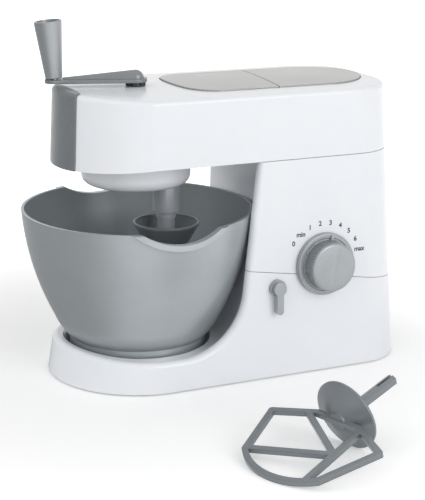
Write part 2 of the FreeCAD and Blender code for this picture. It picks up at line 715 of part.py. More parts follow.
def build_lower_case():
    """Lower case: the ring with the bowl socket, and the pillar up to the tilting seam."""
    gap = size("seam_gap") / 2
    wall = size("wall")
    outer = CASE_OUTER.common(seam_side(False, -gap))
    shell = outer.cut(CASE_INNER.common(seam_side(False, -gap - wall)))
    for spot in base_screw_spots():
        boss = Part.makeCylinder(size("boss_radius"), REACH / 3, spot + Vector(0, 0, PLATE_TOP))
        shell = shell.fuse(boss.common(outer))
    axis = on_side("lever_reach", "lever_height")
    bearing = size("lever_shaft_radius") + size("bearing_wall")
    shell = shell.fuse(rod(bearing, axis - outward() * wall / 2, axis - outward() * 3 * wall))
    half, inner = size("hinge_half_width"), size("hinge_inner_half") + size("run_gap")
    for low, high in ((-half, -inner), (inner, half)):
        shell = shell.fuse(knuckle(low, high, False))
    cutters = [Part.makeCylinder(size("socket_radius"), REACH, Vector(0, 0, size("socket_floor")))]
    for spot in base_screw_spots():
        plate_face = spot + Vector(0, 0, size("foot_height"))
        cutters.append(screw_hole(plate_face, Vector(0, 0, 1), size("screw_length") + wall))
    bore = size("lever_shaft_radius") + size("pin_fit")
    cutters.append(rod(bore, axis + outward() * wall, axis - outward() * 4 * wall))
    cutters.append(prong_slot())
    return shell.cut(cutters)


def build_base_plate():
    """Plate that closes the case from below."""
    low = size("foot_height")
    plate = case_block([low, PLATE_TOP - size("pin_fit")], size("wall") + size("run_gap"))
    through = size("screw_length")
    faces = [spot + Vector(0, 0, low) for spot in base_screw_spots()]
    return plate.cut([screw_hole(face, Vector(0, 0, 1), through) for face in faces])


def pillar_screw_spots():
    """Tops of the bosses where the head's screws enter the pillar."""
    top = size("joint_height") - size("seam_gap") / 2
    boss = size("boss_radius")
    side = half_width_at(top) - size("wall") - 2 * boss
    front = size("recess_reach") + size("wall") + 3 * boss
    rear = rear_at(top) - size("wall") - 3 * boss
    return [Vector(x, y * way, top) for x, y in ((front, side), (rear, side * 0.75)) for way in (-1, 1)]


def braced_boss(spot, height, lift=0.0):
    """Screw boss that rises from a point, with a web out to the side wall that starts a lift higher."""
    radius = size("boss_radius")
    boss = rod(radius, spot, spot + Vector(0, 0, height))
    reach = half_width_at(spot.z) - abs(spot.y) - size("wall") / 2
    near = spot.y if spot.y > 0 else spot.y - reach
    corner = Vector(spot.x - size("wall") / 2, near, spot.z + lift)
    return boss.fuse(Part.makeBox(size("wall"), reach, height - lift, corner))


def leaf_post():
    """Post inside the pillar that carries the click spring."""
    axis = on_side("dial_reach", "dial_height")
    top = axis.z + size("ratchet_radius") + size("run_gap")
    depth = size("ratchet_depth") + size("ratchet_width")
    wall = size("wall")
    corner = Vector(axis.x + size("ratchet_radius") + 2 * wall, axis.y + wall / 2, top - 2 * wall)
    return Part.makeBox(1.5 * wall, depth, 2 * wall, corner)


def build_pillar():
    """Upper part of the pillar, which tilts with the head."""
    gap = size("seam_gap") / 2
    wall = size("wall")
    top = size("joint_height") - gap
    span = CASE_OUTER.common(seam_side(True, gap)).common(slab(0, top))
    shell = span.cut(CASE_INNER.common(seam_side(True, gap + wall)))
    half = size("hinge_inner_half")
    shell = shell.fuse(knuckle(-half, half, True))
    lip = case_block([top - 2 * wall, top + 1.5 * wall], wall + size("run_gap") / 2)
    lip = lip.cut(case_block([top - 2 * wall, top + 1.5 * wall], 2 * wall))
    shell = shell.fuse(lip.common(behind(recess_front(1.5 * wall))))
    hold = size("screw_hold")
    for spot in pillar_screw_spots():
        shell = shell.fuse(braced_boss(spot - Vector(0, 0, hold), hold).common(span))
    shell = shell.fuse(leaf_post())
    faces = [spot - Vector(0, 0, hold) for spot in pillar_screw_spots()]
    cutters = [screw_hole(face, Vector(0, 0, 1), 2 * hold) for face in faces]
    axis = on_side("dial_reach", "dial_height")
    bore = size("dial_shaft_radius") + size("pin_fit")
    cutters.append(rod(bore, axis + outward() * wall, axis - outward() * 2 * wall))
    cutters.append(prong_slot())
    return shell.cut(cutters)


# The head


def crown_block(rise=0.0):
    """Everything under the head's crown, raised or lowered."""
    radius = size("head_crown_radius") + rise
    centre = size("head_crown_height") - size("head_crown_radius")
    half = 1.5 * size("half_width")
    edge = centre + math.sqrt(radius * radius - half * half)
    ends = [Vector(-REACH, -half, edge), Vector(-REACH, half, edge)]
    arc = Part.Arc(ends[0], Vector(-REACH, 0, centre + radius), ends[1])
    corners = [ends[1], Vector(-REACH, half, 0), Vector(-REACH, -half, 0), ends[0]]
    edges = [arc.toShape()] + [Part.makeLine(a, b) for a, b in zip(corners, corners[1:])]
    return Part.Face(Part.Wire(edges)).extrude(Vector(2 * REACH, 0, 0))


def head_block(offset=0.0):
    """Head with a rounded upper edge, grown or shrunk by an offset, and open-ended below."""
    levels = [size("joint_height") - 5 * size("wall"), size("head_crown_height") + 5 * size("wall")]
    block = case_block(levels, -offset, True).common(crown_block(offset))
    top = max(block.Faces, key=lambda face: face.CenterOfMass.z)
    return block.makeFillet(max(size("head_edge") + offset, size("head_edge") / 3), top.Edges)


def head_floor():
    """Everything above the head's lower edge, which drops towards the nose."""
    level = underplate_level()
    front = -size("nose_drop_start")
    drop = (REACH + front) * tangent("nose_drop")
    lower = [(-REACH, level - drop), (front, level), (REACH, level)]
    return side_plate(lower + [(REACH, REACH), (-REACH, REACH)])


def panel_wire(grow, height):
    """Plan outline of the two top panels together."""
    half = size("panel_half_width") + grow
    front = size("panel_front") - grow
    rear = size("panel_rear_centre")
    def spot(x, y):
        return Vector(x, y, height)
    shoulder = (front + size("panel_shoulder"), half * size("panel_shoulder_share"))
    cheek = (front + size("panel_cheek"), half * size("panel_cheek_share"))
    side = (front + size("panel_side"), half)
    arcs = [(spot(side[0], -side[1]), spot(cheek[0], -cheek[1]), spot(shoulder[0], -shoulder[1])),
            (spot(shoulder[0], -shoulder[1]), spot(front, 0), spot(*shoulder)),
            (spot(*shoulder), spot(*cheek), spot(*side)),
            (spot(rear, half), spot(rear + half, 0), spot(rear, -half))]
    edges = [Part.Arc(*arc).toShape() for arc in arcs]
    edges.insert(3, Part.makeLine(spot(*side), spot(rear, half)))
    edges.append(Part.makeLine(spot(rear, -half), spot(side[0], -side[1])))
    return Part.Wire(edges)


def panel_prism(grow=0.0):
    """Upright prism over the panels' outline."""
    low = size("joint_height")
    return Part.Face(panel_wire(grow, low)).extrude(Vector(0, 0, REACH - low))


def panel_half(front):
    """Everything ahead of or behind the line where the panels part."""
    half = size("panel_half_width") * 2
    middle = (size("panel_split_near") + size("panel_split_far")) / 2
    skew = size("panel_split_far") - size("panel_split_near")
    shift = (-1 if front else 1) * size("panel_gap") / 2
    ends = [Vector(middle + way * skew + shift, way * half, 0) for way in (-1, 1)]
    side = -REACH if front else REACH
    corners = ends + [Vector(side, half, 0), Vector(side, -half, 0)]
    return Part.Face(Part.makePolygon(corners + corners[:1])).extrude(Vector(0, 0, REACH))


def cover_prism(grow=0.0):
    """Upright prism over the nose cover."""
    half = size("cover_half_width") + grow
    rear = -size("cover_rear") + grow
    corner = size("cover_corner")
    block = Part.makeBox(REACH, 2 * half, REACH, Vector(rear - REACH, -half, 0))
    uprights = [edge for edge in block.Edges
                if abs(edge.Vertexes[0].X - rear) < 0.01 and abs(edge.Vertexes[1].X - rear) < 0.01
                and abs(edge.Vertexes[0].Y - edge.Vertexes[1].Y) < 0.01]
    return block.makeFillet(corner, uprights)


HEAD_OUTER = head_block()
HEAD_INNER = head_block(-size("wall"))
COVER_CORE = head_block(-size("cover_seat"))


def drive_axis(height=0.0):
    """Point of the drive axis at a height."""
    return Vector(-size("drive_offset"), 0, height)


def build_head_case():
    """Upper shell of the head with the seats of its panels and its nose cover."""
    wall = size("wall")
    shell = HEAD_OUTER.common(head_floor()).cut(HEAD_INNER)
    seat = panel_prism(size("panel_gap")).cut(crown_block(-size("panel_depth")))
    shell = shell.cut([seat, cover_prism(size("cover_gap")).cut(COVER_CORE)])
    for spot in pillar_screw_spots():
        boss = braced_boss(spot + Vector(0, 0, size("seam_gap")), 2 * size("screw_hold"), 2 * wall)
        shell = shell.fuse(boss.common(HEAD_OUTER))
    base = size("head_crown_height") - size("bush_length")
    bush = size("shaft_radius") + size("bearing_wall")
    tube = rod(bush + wall, drive_axis(base), drive_axis(REACH)).common(crown_block(-wall / 4))
    cutters = [rod(bush, drive_axis(base - 1), drive_axis(REACH))]
    bore = size("screw_radius") + size("pin_fit")
    for spot in pillar_screw_spots():
        cutters.append(rod(bore, spot, spot + Vector(0, 0, 2 * size("screw_hold"))))
    return shell.fuse(tube).cut(cutters)


def build_nose_cover():
    """Cover that wraps over the nose."""
    cover = head_block(size("cover_proud")).common(cover_prism()).cut(COVER_CORE)
    return cover.common(head_floor())


def build_panel(front):
    """One of the two top panels."""
    slice_ = crown_block(size("panel_rise")).cut(crown_block(-size("panel_depth")))
    return slice_.common(panel_prism()).common(panel_half(front))


def underplate_level():
    """Height of the underside of the plate under the head."""
    return size("joint_height") + size("seam_gap") / 2


def ring_screw_spots():
    """Places of the screws that hold the ring gear."""
    radius = ring_pitch() - 1.0
    return [drive_axis(underplate_level() + size("underplate_thickness"))
            + Vector(radius * math.cos(angle), radius * math.sin(angle), 0)
            for angle in (math.radians(30 + 120 * step) for step in range(3))]


def build_underplate():
    """Plate that closes the nose from below and carries the gear and the lower bearing."""
    level = underplate_level()
    top = level + size("underplate_thickness")
    plate = case_block([level, top], size("wall") + size("run_gap"), True)
    rear = size("recess_reach") + size("wall") / 2
    plate = plate.common(Part.makeBox(REACH + rear, 2 * REACH, REACH, Vector(-REACH, -REACH, 0)))
    high = top + 4 * size("bearing_wall")
    plate = plate.fuse(rod(size("shaft_radius") + size("bearing_wall"), drive_axis(level), drive_axis(high)))
    cutters = [rod(size("shaft_radius") + size("pin_fit"), drive_axis(level - 1), drive_axis(high + 1))]
    cutters += [screw_hole(spot, Vector(0, 0, -1), 10) for spot in ring_screw_spots()]
    return plate.cut(cutters)


# Gears


def ring_pitch():
    """Pitch radius of the ring gear."""
    return size("gear_module") * size("ring_teeth") / 2


def planet_pitch():
    """Pitch radius of the planet gear."""
    return size("gear_module") * size("planet_teeth") / 2


def planet_offset():
    """Distance between the drive axis and the tool's axis."""
    return ring_pitch() - planet_pitch()


def gear_wire(teeth, root, tip, thickness, first, height):
    """Outline of a gear with straight-sided teeth of a given thickness on the pitch circle."""
    pitch = size("gear_module") * teeth / 2
    corners = []
    for tooth in range(int(teeth)):
        middle = first + 2 * math.pi * tooth / teeth
        for radius, side in ((root, -1), (tip, -1), (tip, 1), (root, 1)):
            half = (thickness / 2 + (pitch - radius) * math.tan(math.radians(20))) / pitch
            angle = middle + side * half
            corners.append(Vector(radius * math.cos(angle), radius * math.sin(angle), height))
    return Part.makePolygon(corners + corners[:1])


def tooth_thickness():
    """Thickness of a tooth on the pitch circle."""
    return (math.pi * size("gear_module") - size("gear_backlash")) / 2


def gear_base():
    """Height of the gears' lower faces."""
    return size("carrier_bottom") + size("carrier_floor") + size("run_gap")


def build_ring_gear():
    """Ring gear that hangs from the underplate inside the drum."""
    base = gear_base()
    level = underplate_level()
    module = size("gear_module")
    pitch = ring_pitch()
    rim = pitch + 1.25 * module + size("ring_rim")
    body = rod(rim, Vector(0, 0, base), Vector(0, 0, level))
    gap = math.pi * module - tooth_thickness()
    space = gear_wire(size("ring_teeth"), pitch - module, pitch + 1.25 * module, gap, 0, base - 1)
    cut_height = size("gear_width") + size("web_clearance")
    body = body.cut(Part.Face(space).extrude(Vector(0, 0, cut_height + 1)))
    body = body.cut(rod(pitch - module - 3, Vector(0, 0, base), Vector(0, 0, level + 1)))
    body = body.cut(rod(pitch - module, Vector(0, 0, base - 1), Vector(0, 0, base + cut_height)))
    body.rotate(Vector(), Vector(0, 0, 1), size("carrier_turn"))
    body.translate(drive_axis())
    for spot in ring_screw_spots():
        top = Vector(spot.x, spot.y, level + 1)
        body = body.cut(rod(size("screw_radius"), top - Vector(0, 0, size("short_screw_length") + 1), top))
    return body


def tool_axis(height=0.0):
    """Point of the tool's axis at rest."""
    angle = math.radians(size("carrier_turn"))
    swing = planet_offset()
    return drive_axis(height) + Vector(swing * math.cos(angle), swing * math.sin(angle), 0)


def build_planet_gear():
    """Planet gear on the tool socket's journal, with a tooth that points at a space of the ring gear."""
    module = size("gear_module")
    pitch = planet_pitch()
    teeth = size("planet_teeth")
    wire = gear_wire(teeth, pitch - 1.25 * module, pitch + 0.85 * module, tooth_thickness(), 0, 0)
    gear = Part.Face(wire).extrude(Vector(0, 0, size("gear_width")))
    bore = size("spindle_journal") + size("pin_fit")
    gear = gear.cut(rod(bore, Vector(0, 0, -1), Vector(0, 0, size("gear_width") + 1)))
    feature("planet_gear", gear, tool_axis(gear_base()), Rotation(Vector(0, 0, 1), size("carrier_turn")))


# Pieces on the base


def build_feet():
    """Four rubber feet under the base plate."""
    front = "(socket_radius + foot_radius / 2) * sqrt(0.5)"
    rear = "rear_reach - rear_corner * 0.6"
    side = "half_width - rear_corner / 2"
    places = [(f"-{front}", f"-{front}"), (f"-{front}", front), (rear, f"-({side})"), (rear, side)]
    for number, (x, y) in enumerate(places, start=1):
        keep(cylinder(f"foot_{number}", "foot_radius", "foot_height", x, y))


def build_hinge_pin():
    """Pin through the three knuckles of the tilting hinge."""
    along = Rotation(Vector(1, 0, 0), -90)
    spot = (HINGE_X, "-hinge_half_width", HINGE_Z)
    keep(cylinder("hinge_pin", "hinge_pin_radius", "2 * hinge_half_width", *spot, along))


def on_wall_body(label, reach, height, turn=0.0):
    """Empty body whose +Z axis stands out of the side wall, turned about that axis."""
    body = new_body(label)
    side = f"-(half_width - {height} * tan(side_draft))"
    return place(body, reach, side, height, wall_turn() * Rotation(Vector(0, 0, 1), turn))


def build_lever():
    """Release lever: a stepped boss with a tongue that hangs from it."""
    body = on_wall_body("release_lever", "lever_reach", "lever_height")
    bore = "lever_shaft_radius + pin_fit"
    revolve(body, "lever_boss", [
        (bore, "run_gap"),
        ("lever_boss_radius", "run_gap"),
        ("lever_boss_radius", "lever_depth / 2"),
        ("lever_boss_radius - knob_wall / 2", "lever_depth / 2"),
        ("lever_boss_radius - knob_wall / 2", "lever_depth - knob_wall / 4"),
        ("lever_boss_radius - 0.75 * knob_wall", "lever_depth"),
        (0, "lever_depth"),
        (0, "lever_depth - knob_wall"),
        (bore, "lever_depth - knob_wall"),
    ], {4: "knob_wall / 4"})
    half = "lever_width / 2"
    root = "-(lever_shaft_radius + knob_wall / 2)"
    end = f"-(lever_length - {half})"
    extrude(body, "PartDesign::Pad", "lever_tongue", "XY_Plane", [
        (f"-{half}", root),
        (f"-{half}", end),
        (0, "-lever_length"),
        (half, end),
        (half, root),
    ], "0.7 * lever_depth", {1: half, 2: half}, level="0.3 * lever_depth")


def build_lever_shaft():
    """Shaft of the lever with the arm and the upright prong of its latch."""
    axis = on_side("lever_reach", "lever_height")
    width = size("prong_width")
    depth = size("prong_inset")
    outer_end = Vector(0, 0, size("lever_depth") - size("knob_wall"))
    shaft = rod(size("lever_shaft_radius"), outer_end, Vector(0, 0, -depth - width))
    arm_reach = size("prong_arm") + width / 2
    arm = Part.makeBox(arm_reach, width, width, Vector(0, -width / 2, -depth - width))
    low = Vector(arm_reach - width, -width / 2, -depth - width)
    prong = Part.makeBox(width, size("prong_rise") + width / 2, width, low)
    barb = low + Vector(-width / 4, size("prong_rise") - width / 2, 0)
    nose = Part.makeBox(width * 1.25, width, width, barb)
    feature("lever_shaft", shaft.fuse([arm, prong, nose]), axis, wall_turn())


def build_dial():
    """Speed dial: a skirt, a round grip and a ridge that points at the speed."""
    body = on_wall_body("speed_dial", "dial_reach", "dial_height", -size("dial_turn"))
    bore = "dial_shaft_radius + pin_fit"
    face = "dial_depth - dial_ridge"
    soft = "knob_wall / 2"
    revolve(body, "dial_shell", [
        (bore, "run_gap"),
        ("dial_shaft_radius + knob_wall", "run_gap"),
        ("dial_shaft_radius + knob_wall", f"{face} - knob_wall"),
        ("dial_grip_radius - knob_wall", f"{face} - knob_wall"),
        ("dial_grip_radius - knob_wall", "dial_skirt - knob_wall"),
        ("dial_radius - knob_wall", "dial_skirt - knob_wall"),
        ("dial_radius - knob_wall", "run_gap"),
        ("dial_radius", "run_gap"),
        ("dial_radius", f"dial_skirt - {soft}"),
        (f"dial_radius - {soft}", "dial_skirt"),
        ("dial_grip_radius", "dial_skirt"),
        ("dial_grip_radius", f"{face} - {soft}"),
        (f"dial_grip_radius - {soft}", face),
        (0, face),
        (0, f"{face} - knob_wall / 2"),
        (bore, f"{face} - knob_wall / 2"),
    ], {8: soft, 11: soft})
    half = "dial_ridge_width / 2"
    reach = f"(dial_grip_radius - knob_wall - {half})"
    extrude(body, "PartDesign::Pad", "dial_pointer", "XY_Plane", [
        (half, f"-{reach}"),
        (half, reach),
        (0, f"{reach} + {half}"),
        (f"-{half}", reach),
        (f"-{half}", f"-{reach}"),
        (0, f"-({reach} + {half})"),
    ], "dial_ridge + pin_fit", {1: half, 2: half, 4: half, 5: half}, level=f"{face} - pin_fit")


def build_dial_shaft():
    """Shaft of the dial with its click wheel."""
    radius = size("ratchet_radius")
    face = size("dial_depth") - size("dial_ridge") - size("knob_wall") / 2
    depth = size("ratchet_depth")
    width = size("ratchet_width")
    shaft = rod(size("dial_shaft_radius"), Vector(0, 0, face), Vector(0, 0, -depth - width))
    wheel = rod(radius, Vector(0, 0, -depth - width), Vector(0, 0, -depth))
    count = int(size("ratchet_notches"))
    cutters = []
    for notch in range(count):
        angle = 2 * math.pi * (notch + 0.5) / count
        spot = Vector(radius * math.cos(angle), radius * math.sin(angle), -depth - width - 1)
        cutters.append(rod(radius / 6, spot, spot + Vector(0, 0, width + 2)))
    axis = on_side("dial_reach", "dial_height")
    turn = wall_turn() * Rotation(Vector(0, 0, 1), -size("dial_turn"))
    feature("dial_shaft", shaft.fuse(wheel.cut(cutters)), axis, turn)


def build_click_leaf():
    """Leaf spring that lies on its post and reaches over the click wheel."""
    x = "dial_reach - ratchet_radius / 2"
    y = "-(half_width - dial_height * tan(side_draft) - ratchet_depth - ratchet_width)"
    z = "dial_height + ratchet_radius + run_gap"
    length = "ratchet_radius * 1.5 + 3.5 * wall"
    keep(box("click_leaf", length, "ratchet_width", "leaf_thickness", x, y, z))


def build_latch_keeper():
    """Metal keeper beside the latch slot on the pillar's floor."""
    slot = prong_slot().BoundBox
    wall = size("wall")
    height = seam_height(slot.XMin) + 2.5 * wall
    keeper = Part.makeBox(2 * wall, slot.YLength, REACH, Vector(slot.XMin - 2 * wall, slot.YMin, 0))
    keeper = keeper.common(seam_side(True, size("seam_gap") / 2 + wall)).common(slab(0, height))
    feature("latch_keeper", keeper.common(CASE_INNER))


# Turning pieces


def build_drive_shaft():
    """Upright shaft from the drum to the crank, with a flat at either end and a screw hole below."""
    base = "(carrier_bottom + carrier_floor)"
    top = "(arm_base + arm_rib_height - bearing_wall)"
    bar = cylinder("shaft_bar", "shaft_radius", f"{top} - {base}", "-drive_offset", 0, base)
    bore = "screw_radius + pin_fit"
    cutters = [cylinder("shaft_hole", bore, "screw_length + wall", "-drive_offset", 0, base)]
    flats = (("lower_flat", "carrier_turn", base, "(joint_height - seam_gap)"),
             ("upper_flat", "(180 + arm_turn)", "arm_base", top))
    for name, angle, low, high in flats:
        x = f"shaft_flat * cos({angle}) + shaft_radius * sin({angle}) - drive_offset"
        y = f"shaft_flat * sin({angle}) - shaft_radius * cos({angle})"
        turn = Rotation(Vector(0, 0, 1), worth(angle))
        cutters.append(box(name, "shaft_radius", "2 * shaft_radius", f"{high} - {low}", x, y, low, turn))
    keep(cut_from(bar, "drive_shaft", cutters))


def build_top_bush():
    """Bush that carries the drive shaft in the head's crown."""
    base = "head_crown_height - bush_length"
    height = "bush_length + run_gap / 2"
    ring = cylinder("bush_ring", "shaft_radius + bearing_wall", height, "-drive_offset", 0, base)
    hole = cylinder("bush_hole", "shaft_radius + pin_fit", height, "-drive_offset", 0, base)
    keep(cut_from(ring, "top_bush", [hole]))


def about_drive(label, height, turn=0.0):
    """Empty body on the drive axis at a height, turned about it."""
    return place(new_body(label), "-drive_offset", 0, height, Rotation(Vector(0, 0, 1), turn))


def build_carrier():
    """Drum that carries the planet gear round inside the ring gear."""
    body = about_drive("planet_carrier", "carrier_bottom", size("carrier_turn"))
    top = "(joint_height - seam_gap - carrier_bottom)"
    hub = "shaft_radius + 2 * carrier_wall"
    hole = "screw_radius + pin_fit"
    revolve(body, "drum", [
        (hole, "screw_head_radius - screw_radius"),
        ("screw_head_radius + pin_fit", 0),
        ("carrier_radius - carrier_edge", 0),
        ("carrier_radius", "carrier_edge"),
        ("carrier_radius", top),
        ("carrier_radius - carrier_wall", top),
        ("carrier_radius - carrier_wall", "carrier_floor"),
        (hub, "carrier_floor"),
        (hub, top),
        (hole, top),
    ], {2: "carrier_edge"})
    corners, bends = shaft_socket()
    turned = "PartDesign::Pocket"
    depth = f"{top} - carrier_floor"
    extrude(body, turned, "shaft_hole_in_drum", "XY_Plane", corners, depth, bends, level=top)
    offset = "gear_module * (ring_teeth - planet_teeth) / 2"
    corners, bends = ring_of(offset, "spindle_journal + pin_fit")
    extrude(body, turned, "spindle_bore", "XY_Plane", corners, "carrier_floor", bends, level="carrier_floor")


def build_tool_socket():
    """Socket that turns in the drum's floor and holds a tool's shank."""
    swing = "gear_module * (ring_teeth - planet_teeth) / 2"
    x = f"{swing} * cos(carrier_turn) - drive_offset"
    body = place(new_body("tool_socket"), x, f"{swing} * sin(carrier_turn)", "spindle_nose_end")
    step = "spindle_step - spindle_nose_end"
    shoulder = "carrier_bottom - run_gap - spindle_nose_end"
    clip = f"({CLIP_BASE} - spindle_nose_end)"
    top = f"{clip} + clip_thickness + clip_depth"
    revolve(body, "socket_profile", [
        ("tool_bore", 0),
        ("spindle_nose_radius", 0),
        ("spindle_nose_radius", f"{step} - spindle_collar_length"),
        ("spindle_collar_radius", f"{step} - spindle_collar_length"),
        ("spindle_collar_radius", step),
        ("spindle_radius", step),
        ("spindle_radius", shoulder),
        ("spindle_journal", shoulder),
        ("spindle_journal", f"{clip} - pin_fit"),
        ("spindle_journal - clip_depth", f"{clip} - pin_fit"),
        ("spindle_journal - clip_depth", f"{clip} + clip_thickness + pin_fit"),
        ("spindle_journal", f"{clip} + clip_thickness + pin_fit"),
        ("spindle_journal", top),
        ("tool_bore", top),
    ])


def build_spindle_clip():
    """Open clip in the groove above the planet gear."""
    radius = size("spindle_journal") - size("clip_depth") + size("pin_fit")
    thickness = size("clip_thickness")
    top = Vector(0, 0, thickness)
    clip = rod(radius + size("clip_width"), Vector(), top).cut(rod(radius, Vector(), top))
    mouth = Part.makeBox(2 * radius, radius, thickness, Vector(0, -radius / 2, 0))
    feature("spindle_clip", clip.cut(mouth), tool_axis(worth(CLIP_BASE)))


def build_collar():
    """Castellated collar between the head and the crank."""
    body = about_drive("drive_collar", "collar_base")
    bore = "shaft_radius + pin_fit"
    height = "collar_height"
    revolve(body, "collar_ring", [(bore, 0), ("collar_radius", 0), ("collar_radius", height), (bore, height)])
    half = "collar_radius / 8"
    near, far = "collar_radius * 0.8", "collar_radius * 1.2"
    corners = [(near, f"-{half}"), (far, f"-{half}"), (far, half), (near, half)]
    depth = f"{height} * 0.7"
    notch = extrude(body, "PartDesign::Pocket", "collar_notch", "XY_Plane", corners, depth, level=height)
    pattern = body.newObject("PartDesign::PolarPattern", "collar_castellation")
    pattern.Originals = [notch]
    pattern.Axis = (notch.Profile[0], ["N_Axis"])
    pattern.Angle = 360
    pattern.setExpression("Occurrences", formula("collar_notches"))
    body.Tip = pattern
    doc.recompute()


def arm_heading():
    """Direction of the crank arm, which points to the nose when its rest angle is zero."""
    return 180 + size("arm_turn")


def build_crank_arm():
    """Crank arm: a tapered flange with a domed spine that falls away towards the handle."""
    body = about_drive("arm_body", "arm_base", arm_heading())
    NODES.remove(body)
    lean = "((arm_hub_radius - arm_tip_radius) / arm_length)"
    side = f"sqrt(1 - {lean}^2)"
    hub_x, hub_y = f"arm_hub_radius * {lean}", f"arm_hub_radius * {side}"
    tip_x, tip_y = f"arm_length + arm_tip_radius * {lean}", f"arm_tip_radius * {side}"
    extrude(body, "PartDesign::Pad", "arm_flange", "XY_Plane", [
        (hub_x, f"-{hub_y}"),
        (tip_x, f"-{tip_y}"),
        ("arm_length + arm_tip_radius", 0),
        (tip_x, tip_y),
        (hub_x, hub_y),
        ("-arm_hub_radius", 0),
    ], "arm_thickness", {1: "arm_tip_radius", 2: "arm_tip_radius", 4: "arm_hub_radius", 5: "arm_hub_radius"})
    dome = "(arm_rib_height - arm_thickness)"
    end = "arm_length - grip_base_radius - run_gap"
    sketch = outline(body, "spine_outline", "XY_Plane", [
        (f"-{dome}", 0),
        (end, 0),
        (end, "arm_thickness / 2"),
        (0, dome),
    ], {3: dome}, level="arm_thickness - pin_fit")
    spine = body.newObject("PartDesign::Revolution", "arm_spine")
    spine.Profile = sketch
    spine.ReferenceAxis = (sketch, ["H_Axis"])
    spine.Angle = 180
    doc.recompute()
    corners, bends = shaft_socket()
    depth = "arm_rib_height - bearing_wall"
    extrude(body, "PartDesign::Pocket", "shaft_hole_in_arm", "XY_Plane", corners, depth, bends, level=depth)
    turn, spot = grip_frame()
    low = spot - turn.multVec(Vector(0, 0, 3 * size("arm_thickness")))
    radius = "grip_pin_radius + pin_fit"
    hole = cylinder("pin_hole_in_arm", radius, "4 * arm_thickness", low.x, low.y, low.z, turn)
    keep(cut_from(body, "crank_arm", [hole]))


def grip_frame():
    """Turn of the leaning handle and the centre of its lower end."""
    heading = Rotation(Vector(0, 0, 1), arm_heading())
    along = heading.multVec(Vector(size("arm_length"), 0, 0))
    lift = size("arm_base") + size("arm_thickness") + size("run_gap")
    lift += size("grip_base_radius") * math.sin(math.radians(size("grip_lean")))
    return heading * Rotation(Vector(0, 1, 0), size("grip_lean")), drive_axis(lift) + along


def build_grip():
    """Hollow flared handle that turns on its pin."""
    turn, spot = grip_frame()
    body = new_body("crank_grip")
    body.Placement = Placement(spot, turn)
    bore = "grip_pin_radius + pin_fit"
    soft = "grip_wall / 2"
    revolve(body, "grip_profile", [
        (bore, 0),
        (f"grip_base_radius - {soft}", 0),
        ("grip_base_radius", soft),
        ("grip_top_radius", f"grip_length - {soft}"),
        (f"grip_top_radius - {soft}", "grip_length"),
        ("grip_top_radius - grip_wall", "grip_length"),
        ("grip_base_radius - grip_wall", "grip_floor"),
        (bore, "grip_floor"),
    ], {1: soft, 3: soft})


def build_grip_pin():
    """Headed pin that holds the handle on the arm."""
    turn, spot = grip_frame()
    lift = size("grip_base_radius") * math.sin(math.radians(size("grip_lean"))) + size("run_gap")
    low = Vector(0, 0, -size("arm_thickness") - lift)
    seat = Vector(0, 0, size("grip_floor") + size("run_gap"))
    head = Vector(0, 0, size("grip_pin_head"))
    pin = rod(size("grip_pin_radius"), low, seat)
    feature("grip_pin", pin.fuse(rod(size("grip_pin_radius") + head.z, seat, seat + head)), spot, turn)


# The bowl and the tools


NOTCH_RADIUS = "((notch_half_width^2 + notch_depth^2) / (2 * notch_depth))"


def sagging(half, low):
    """Arc that sags from one end of a finger notch's rim to the other, far ahead of the bowl's near side."""
    rim = size("bowl_rim_height")
    return Part.Arc(Vector(-half, -REACH, rim), Vector(0, -REACH, low), Vector(half, -REACH, rim))


def notch_lips():
    """Crescents that stand out of the bowl below its two finger notches."""
    rim = size("bowl_rim_height")
    low = rim - size("notch_depth")
    width = size("notch_lip_width")
    radius = worth(NOTCH_RADIUS)
    spread = math.sqrt((radius + width) ** 2 - (radius - size("notch_depth")) ** 2)
    upper = sagging(size("notch_half_width"), low)
    lower = sagging(-spread, low - width)
    ties = [Part.makeLine(upper.EndPoint, lower.StartPoint), Part.makeLine(lower.EndPoint, upper.StartPoint)]
    strip = Part.Face(Part.Wire([upper.toShape(), ties[0], lower.toShape(), ties[1]]))
    base = Vector(0, 0, low - 2 * width)
    shell = Part.makeCylinder(size("bowl_rim_radius") + size("notch_lip"), rim - base.z, base)
    room = size("bowl_rim_radius") - 0.75 * size("bowl_wall")
    shell = shell.cut(Part.makeCylinder(room, rim - base.z, base))
    return strip.extrude(Vector(0, 2 * REACH, 0)).common(shell)


def build_bowl():
    """Mixing bowl with a footed base and a lipped finger notch on either side."""
    body = place(new_body("bowl_body"), 0, 0, "socket_floor + run_gap")
    NODES.remove(body)
    base = "(socket_floor + run_gap)"
    rim = f"bowl_rim_height - {base}"
    waist = f"bowl_waist_height - {base}"
    foot = f"bowl_foot_top - {base}"
    revolve(body, "bowl_profile", [
        (0, 0),
        ("bowl_foot_radius", 0),
        ("bowl_foot_radius", foot),
        ("bowl_foot_radius + bowl_foot_step", foot),
        ("bowl_waist_radius", waist),
        ("bowl_rim_radius", rim),
        ("bowl_rim_radius - bowl_wall", rim),
        ("bowl_waist_radius - 0.9 * bowl_wall", f"{waist} + 0.44 * bowl_wall"),
        ("bowl_foot_radius - bowl_wall", f"{foot} + 0.4 * bowl_wall"),
        ("bowl_foot_radius - bowl_wall", "bowl_wall"),
        (0, "bowl_wall"),
    ], {3: "bowl_lower_curve", 4: "bowl_upper_curve", 6: "-(bowl_upper_curve - bowl_wall)",
        7: "-(bowl_lower_curve - bowl_wall)"})
    half = "notch_half_width"
    above = f"{rim} + bowl_wall"
    corners = [(f"-{half}", rim), (half, rim), (half, above), (f"-{half}", above)]
    width = "4 * bowl_rim_radius"
    bends = {0: NOTCH_RADIUS}
    extrude(body, "PartDesign::Pocket", "finger_notches", "XZ_Plane", corners, width, bends, symmetric=True)
    lips = doc.addObject("Part::Feature", "notch_lips")
    lips.Shape = notch_lips()
    keep(joined("mixing_bowl", [body, lips]))


